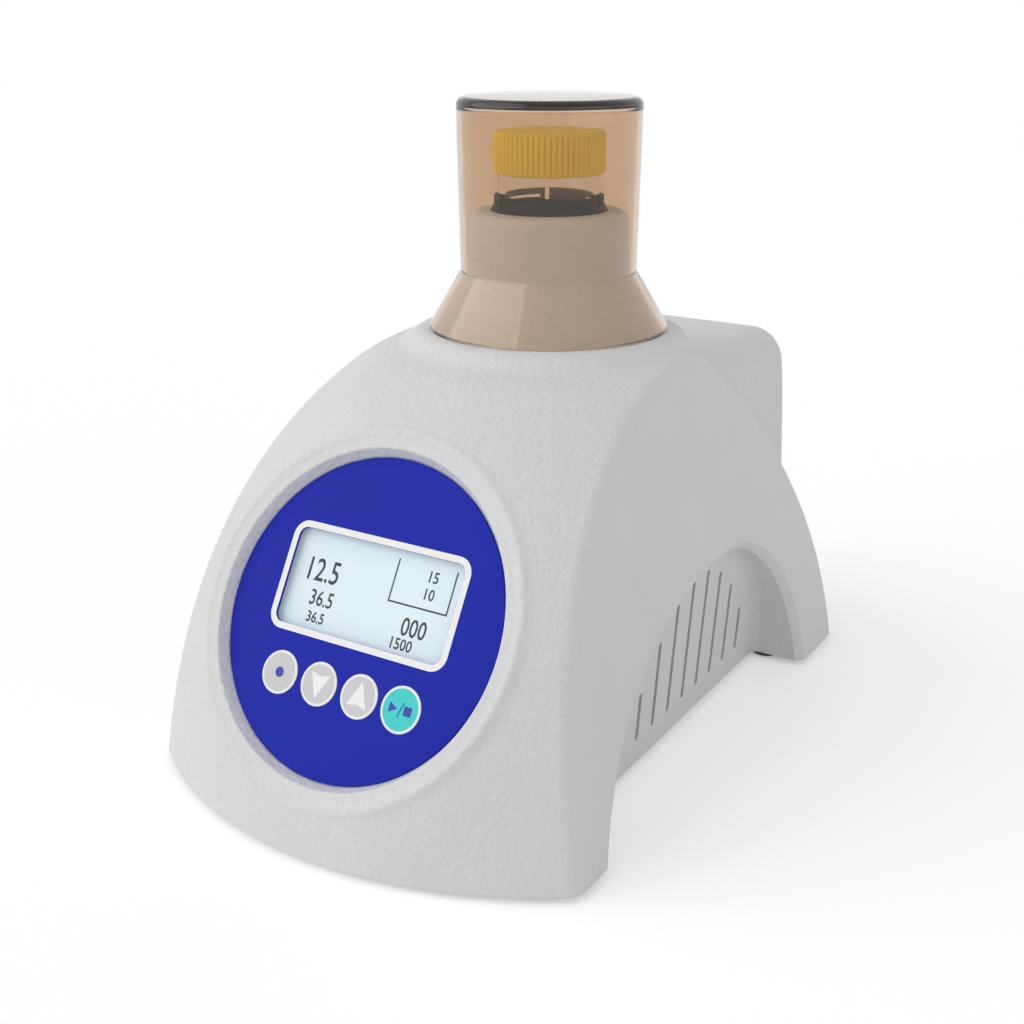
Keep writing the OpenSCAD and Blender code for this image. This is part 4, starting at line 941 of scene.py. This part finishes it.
def make_cover():
    """The smoked cover: a flared foot, a waist and a round upper edge, with a thicker top."""
    rim, waist, barrel, wall, top_t = 38.1, 27.7, 28.75, 1.6, 2.6
    waist_z, ceiling = CONE_TOP + 0.3, COVER_TOP - top_t
    lip_t, lip_high, lip_round, waist_round = 1.9, 0.6, 0.3, 1.2
    profile = rounded([
        (0, COVER_TOP, 0), (barrel, COVER_TOP, top_t), (waist, waist_z, waist_round),
        (rim, TOP + lip_high, lip_round), (rim - 0.1, TOP, lip_round),
        (rim - lip_t, TOP, lip_round), (waist - wall, waist_z, wall),
        (barrel - wall, ceiling, wall), (0, ceiling, 0)], 10)
    return piece("cover_shell", lathe(profile, 160), "cover_body", "cover_smoke", ["cover"])


# The culture tube's body and its thicker rim, which the cap and the collet fit.
TUBE_R = 15
NECK_RIM_R = 15.9


def make_cap():
    """The screw cap, with round ribs that fade into its edges."""
    radius = (CAP_HIGH.x - CAP_LOW.x) / 2
    ribs, deep, steps = 62, 0.75, 8
    low, high = CAP_LOW.z, CAP_HIGH.z
    bore, roof = NECK_RIM_R + 0.3, high - 1.4
    vents, vent_r, vent_ring = 5, 1.4, 8
    # Radius, height and share of the ribs' depth, from the bore's foot up the outside.
    rings = [(bore, low, 0.0), (radius - 0.9, low, 0.0), (radius - 0.25, low + 0.25, 0.35),
             (radius, low + 0.9, 1.0), (radius, high - 1.3, 1.0), (radius - 0.2, high - 0.7, 0.55),
             (radius - 0.75, high - 0.12, 0.0), (radius - 1.6, high, 0.0)]
    bm = bmesh.new()
    bmesh.ops.create_circle(bm, cap_ends=False, radius=bore, segments=ribs * steps)
    ring = list(bm.edges)
    bmesh.ops.translate(bm, verts=bm.verts, vec=(0, 0, roof))
    bmesh.ops.holes_fill(bm, edges=ring, sides=0)
    for r, z, rib in rings:
        grown = bmesh.ops.extrude_edge_only(bm, edges=ring)["geom"]
        ring = [e for e in grown if isinstance(e, bmesh.types.BMEdge)]
        for vert in (v for v in grown if isinstance(v, bmesh.types.BMVert)):
            turn = math.atan2(vert.co.y, vert.co.x)
            wave = abs(math.cos(turn * ribs / 2)) ** 0.4
            reach = r - deep * rib * (1 - wave)
            vert.co = (reach * math.cos(turn), reach * math.sin(turn), z)
    bmesh.ops.holes_fill(bm, edges=ring, sides=0)
    body = solid(tidy(bm))
    for i in range(vents):
        turn = math.radians(360 / vents * i)
        x, y = vent_ring * math.cos(turn), vent_ring * math.sin(turn)
        combine(body, drum(vent_r, high - 3, high + 2, x, y, 24))
    return piece("ribbed_cap", as_bmesh(body), "cap_body", "cap_yellow", ["tube_cap"])


def make_tube():
    """The clear culture tube."""
    low, high = (corner.z for corner in box_of("culture_tube"))
    rim_low, point_high, point_r = NECK_TOP - 3, 14, 3
    wall, lip_round, bend = 1.2, 0.4, 4
    profile = rounded([
        (0, low, 0), (point_r, low, 0.8), (TUBE_R, low + point_high, bend), (TUBE_R, rim_low, 0),
        (NECK_RIM_R, rim_low + 2, 0), (NECK_RIM_R, high, lip_round),
        (TUBE_R - wall, high, lip_round), (TUBE_R - wall, low + point_high + 0.5, bend),
        (point_r - 0.5, low + wall, 0.5), (0, low + wall, 0)], 4)
    return piece("clear_tube", lathe(profile, 96), "rotor", "tube_clear", ["culture_tube"])


def make_collet():
    """The collet's ring, cut into three fingers by slits and slots."""
    low, high = box_of("collet")
    flange = (high.x - low.x) / 2
    ring, grip, guide = flange - 1, NECK_RIM_R + 0.2, TUBE_R + 0.2
    flange_low, edge = NECK_TOP - 1.5, 0.3
    profile = rounded([
        (guide, low.z, 0), (ring, low.z, 0), (ring, flange_low, 0), (flange, flange_low, 0),
        (flange, NECK_TOP + 0.1, edge), (ring + 0.1, NECK_TOP + 2, edge), (ring, high.z, edge),
        (grip, high.z, edge), (grip, flange_low, 0), (guide, NECK_TOP - 3.7, 0)], 4)
    body = solid(lathe(profile, 120))
    fingers, first_slit, slit_half, slot_high = 3, 5.5, 0.8, 0.8
    slot_from, slot_to, reach = 8, 64.8, 20
    for i in range(fingers):
        first = first_slit + 360 / fingers * i
        slit = brick((13, -slit_half, NECK_TOP + 1.6), (reach, slit_half, high.z + 2))
        combine(body, turned(slit, Matrix.Rotation(math.radians(first), 4, "Z")))
        turns = np.radians(np.linspace(first + slot_from, first + slot_to, 13))
        sector = [(0, 0)] + [(reach * math.cos(a), reach * math.sin(a)) for a in turns]
        slot = prism(sector, slot_high)
        combine(body, turned(slot, Matrix.Translation((0, 0, NECK_TOP + 2.3))))
    return piece("collet_ring", as_bmesh(body), "rotor", "collet_black", ["collet"])


# ---------------------------------------------------------------- control panel

PANEL_TO_FRAME = TO_FRAME @ PANEL


def on_panel(name, bm, body, finish, replaces=(), extra=None):
    """A piece made flat on the panel: X across, Y up it, Z out of it."""
    made = piece(name, bm, body, finish, replaces, place=PANEL_TO_FRAME)
    if extra:
        made.data.materials.clear()
        made.data.materials.append(extra)
    return made


def make_overlay():
    """The blue film, open at the window and the keys."""
    profile = rounded([(0, -FILM_T, 0), (PANEL_R, -FILM_T, 0), (PANEL_R, 0, 0.25), (0, 0, 0)], 4)
    body = solid(lathe(profile, 192))
    window = prism(rectangle(*WINDOW, WINDOW_BEND, WINDOW_UP), 4)
    combine(body, turned(window, Matrix.Translation((0, 0, -2))))
    for i, radius in enumerate(KEY_RADII):
        combine(body, drum(radius + KEY_GAP, -2, 2, *key_spot(i)))
    on_panel("blue_overlay", as_bmesh(body), "housing", "overlay_blue", ["panel_overlay"])


def make_border():
    """The white border printed round the window."""
    band, bend, ink_t, gap = 4, 5, 0.06, 0.1
    body = solid(prism(rectangle(WINDOW[0] + band, WINDOW[1] + band, bend, WINDOW_UP), ink_t))
    hole = prism(rectangle(WINDOW[0] + gap, WINDOW[1] + gap, WINDOW_BEND, WINDOW_UP), 2)
    combine(body, turned(hole, Matrix.Translation((0, 0, -1))))
    on_panel("window_border", as_bmesh(body), "housing", "overlay_blue", extra=PRINT_WHITE)


def make_display():
    """Glass over a pale liquid crystal picture."""
    bend, thick, over, glass_z = 2.5, 1.3, 2.4, -2.3
    glass = prism(rectangle(WINDOW[0] + over, WINDOW[1] + over, bend, WINDOW_UP), thick)
    turned(glass, Matrix.Translation((0, 0, glass_z)))
    on_panel("window_glass", soft_edges(glass, 0.1), "housing", "display_glass", ["display_glass"])
    thick, over, plate_z = 0.1, 2.2, -2.55
    plate = prism(rectangle(WINDOW[0] + over, WINDOW[1] + over, bend, WINDOW_UP), thick)
    turned(plate, Matrix.Translation((0, 0, plate_z)))
    on_panel("picture_plate", plate, "housing", "display_glass", extra=PICTURE_PALE)


# The middle of the picture's ink, its thickness, and how much bolder than plain its figures are.
INK_Z = -2.44
INK_T = 0.02
INK_BOLD = 0.07


def digits(name, words, x, y, size, squeeze=1.0):
    """Plain figures on the display."""
    line = bpy.data.curves.new(name, "FONT")
    line.body = words
    line.size = size
    line.extrude = INK_T / 2
    line.offset = INK_BOLD
    line.resolution_u = 3
    letters = bpy.data.objects.new(name, line)
    bpy.context.scene.collection.objects.link(letters)
    ready = letters.evaluated_get(bpy.context.evaluated_depsgraph_get())
    mesh = bpy.data.meshes.new_from_object(ready)
    bpy.data.objects.remove(letters)
    bm = bmesh.new()
    bm.from_mesh(mesh)
    bmesh.ops.remove_doubles(bm, verts=bm.verts, dist=1e-5)
    turned(bm, Matrix.Translation((x, y, INK_Z)) @ Matrix.Diagonal((squeeze, 1, 1, 1)))
    on_panel(name, bm, "housing", "display_glass", extra=PICTURE_INK)


def make_picture():
    """The figures and the open box shown on the display."""
    left, right = -WINDOW[0] / 2, WINDOW[0] / 2
    low, high = WINDOW_UP - WINDOW[1] / 2, WINDOW_UP + WINDOW[1] / 2
    # Name, what it says, place from the left and from below, height, and width for its height.
    figures = (
        ("figure_main", "12.5", left + 4.0, high - 14.6, 9.6, 0.8),
        ("figure_warm", "36.5", left + 8.6, high - 21.6, 6.4, 0.82),
        ("figure_warm_set", "36.5", left + 9.4, high - 26.6, 4.4, 0.9),
        ("figure_turns", "000", right - 17.5, low + 5.6, 7.4, 0.8),
        ("figure_turns_set", "1500", right - 20.2, low + 1.4, 4.6, 0.9),
        ("figure_step", "15", right - 13.5, high - 7.0, 4.6, 0.9),
        ("figure_pause", "10", right - 13.5, high - 12.0, 4.6, 0.9))
    for figure in figures:
        digits(*figure)
    bars = bmesh.new()
    box_left, box_right, box_low, box_high = right - 24.5, right - 3.6, high - 15.0, high - 2.4
    line = 0.5
    for a, b in (((box_left, box_low), (box_left + line, box_high)),
                 ((box_right - line, box_low), (box_right, box_high)),
                 ((box_left, box_low), (box_right, box_low + line))):
        size = Matrix.Diagonal((b[0] - a[0], b[1] - a[1], INK_T, 1))
        middle = Matrix.Translation(((a[0] + b[0]) / 2, (a[1] + b[1]) / 2, INK_Z))
        bmesh.ops.create_cube(bars, size=1, matrix=middle @ size)
    on_panel("picture_box", bars, "housing", "display_glass", extra=PICTURE_INK)


# The keys' faces above the film, and the marks printed on them.
KEY_HIGH = 0.3
MARK_T = 0.03
MARK_Z = 0.295


def make_key(name, i, node_name, body, finish):
    """A flush key with a white rim."""
    x, y = key_spot(i)
    radius, low, high, rim_w = KEY_RADII[i] + 0.2, -4.0, KEY_HIGH, 0.75
    profile = rounded([
        (0, low, 0), (radius - 0.2, low, 0), (radius - 0.2, low + 0.8, 0), (radius, -1.5, 0),
        (radius, high - 0.05, 0.15), (radius - rim_w, high, 0), (0, high, 0)], 3)
    bm = lathe(profile, 96)
    rim = [f for f in bm.faces if f.calc_center_median().z > high - 0.2
           and f.calc_center_median().xy.length > radius - rim_w]
    for face in rim:
        face.material_index = 1
    turned(bm, Matrix.Translation((x, y, 0)))
    made = on_panel(name, bm, body, finish, [node_name])
    made.data.materials.append(PRINT_WHITE)
    return made


def mark(name, shape, i, body, ink):
    """A flat printed mark on a key, from its outline or its own thin shape."""
    bm = prism(shape, MARK_T) if isinstance(shape, list) else shape
    x, y = key_spot(i)
    turned(bm, Matrix.Translation((x, y, MARK_Z)))
    on_panel(name, bm, body, "key_grey", extra=ink)


def make_keys():
    """The four keys and what is printed on them: arrows, a running and a stopped mark, a spot."""
    make_key("plain_key", 0, "select_key", "select_key_body", "key_grey")
    make_key("lower_key", 1, "down_key", "down_key_body", "key_grey")
    make_key("raise_key", 2, "up_key", "up_key_body", "key_grey")
    make_key("run_key", 3, "start_key", "start_key_body", "key_turquoise")
    head = [(-3.5, 3.1), (0, 2.3), (3.5, 3.1), (0, -4.4)]
    mark("lower_mark", head[::-1], 1, "down_key_body", PRINT_WHITE)
    mark("raise_mark", [(x, -y) for x, y in head], 2, "up_key_body", PRINT_WHITE)
    mark("run_mark", [(-3.9, -1.5), (-1.2, 0), (-3.9, 1.5)], 3, "start_key_body", PRINT_BLUE)
    mark("slash_mark", [(-0.75, -2.2), (-0.35, -2.2), (0.95, 2.2), (0.55, 2.2)], 3,
         "start_key_body", PRINT_BLUE)
    mark("stop_mark", [(1.2, -1.3), (3.8, -1.3), (3.8, 1.3), (1.2, 1.3)], 3,
         "start_key_body", PRINT_BLUE)
    mark("plain_mark", drum(1.5, 0, MARK_T, steps=32), 0, "select_key_body", PRINT_BLUE)


# ---------------------------------------------------------------- room and light


def plain_stage():
    """A pale floor that runs out of sight, a little lighter where it is seen than lit."""
    half_size, seen_lift = 4, 0.35
    bm = bmesh.new()
    bmesh.ops.create_grid(bm, x_segments=2, y_segments=2, size=half_size)
    mesh = bpy.data.meshes.new("floor")
    bm.to_mesh(mesh)
    bm.free()
    floor = bpy.data.objects.new("floor", mesh)
    bpy.context.scene.collection.objects.link(floor)
    made, tree, shader = material(
        "pale_floor", Base_Color=(0.88, 0.88, 0.88, 1), Roughness=0.9, Specular_IOR_Level=0.0,
        Emission_Color=(1, 1, 1, 1))
    path = node(tree, "ShaderNodeLightPath")
    seen = figured(tree, "MAXIMUM", (path, "Is Camera Ray"), (path, "Is Transmission Ray"))
    every = figured(tree, "MAXIMUM", (seen, "Value"), (path, "Is Glossy Ray"))
    lift = figured(tree, "MULTIPLY", (every, "Value"), seen_lift)
    wire(tree, lift, "Value", shader, "Emission Strength")
    mesh.materials.append(made)


def room_light():
    """A white room, brighter where it is only seen than where it lights, and a little less so
    through clear pieces."""
    lighting, seen_power, clear_share = 0.5, 1.0, 0.75
    world = bpy.data.worlds.new("room")
    bpy.context.scene.world = world
    world.use_nodes = True
    tree = world.node_tree
    back = give(tree.nodes["Background"], Color=(1, 1, 1, 1))
    path = node(tree, "ShaderNodeLightPath")
    seen = figured(tree, "MAXIMUM", (path, "Is Camera Ray"), (path, "Is Glossy Ray"))
    through = figured(tree, "MULTIPLY", (path, "Is Transmission Ray"), clear_share)
    every = figured(tree, "MAXIMUM", (seen, "Value"), (through, "Value"))
    power = give(node(tree, "ShaderNodeMapRange"), To_Min=lighting, To_Max=seen_power)
    wire(tree, every, "Value", power, "Value")
    wire(tree, power, "Result", back, "Strength")


def far_lamp(name, azimuth, elevation, spread, power):
    """A soft lamp far off, at angles seen from the object. Azimuth 0 is in front of the panel."""
    made = bpy.data.lights.new(name, "SUN")
    made.angle = math.radians(spread)
    made.energy = power
    holder = bpy.data.objects.new(name, made)
    holder.rotation_euler = (math.radians(90 - elevation), 0, math.radians(azimuth))
    bpy.context.scene.collection.objects.link(holder)


def make_camera():
    """The camera, to the right of the panel and a little above. Its place is in millimetres."""
    place = Vector((263.2, -404.8, 227.5))
    data = bpy.data.cameras.new("camera")
    data.lens = 53.84
    data.sensor_width = 36
    data.clip_start = 0.01
    eye = bpy.data.objects.new("camera", data)
    azimuth, elevation, roll = (math.radians(a) for a in (34.41, 18.57, -0.05))
    level = math.cos(elevation)
    ahead = Vector((-math.sin(azimuth) * level, math.cos(azimuth) * level, -math.sin(elevation)))
    turn = ahead.to_track_quat("-Z", "Y").to_matrix() @ Matrix.Rotation(roll, 3, "Z")
    eye.matrix_world = Matrix.Translation(TO_FRAME @ place) @ turn.to_4x4()
    bpy.context.scene.collection.objects.link(eye)
    bpy.context.scene.camera = eye


bpy.context.scene.view_settings.view_transform = "Standard"
make_camera()
light_picture()
finish_cad_nodes()
make_housing()
make_cover()
make_cap()
make_tube()
make_collet()
make_overlay()
make_border()
make_display()
make_picture()
make_keys()
plain_stage()
room_light()
far_lamp("key_light", -46, 34, 70, 1.2)
far_lamp("side_fill", 85, 8, 60, 0.35)
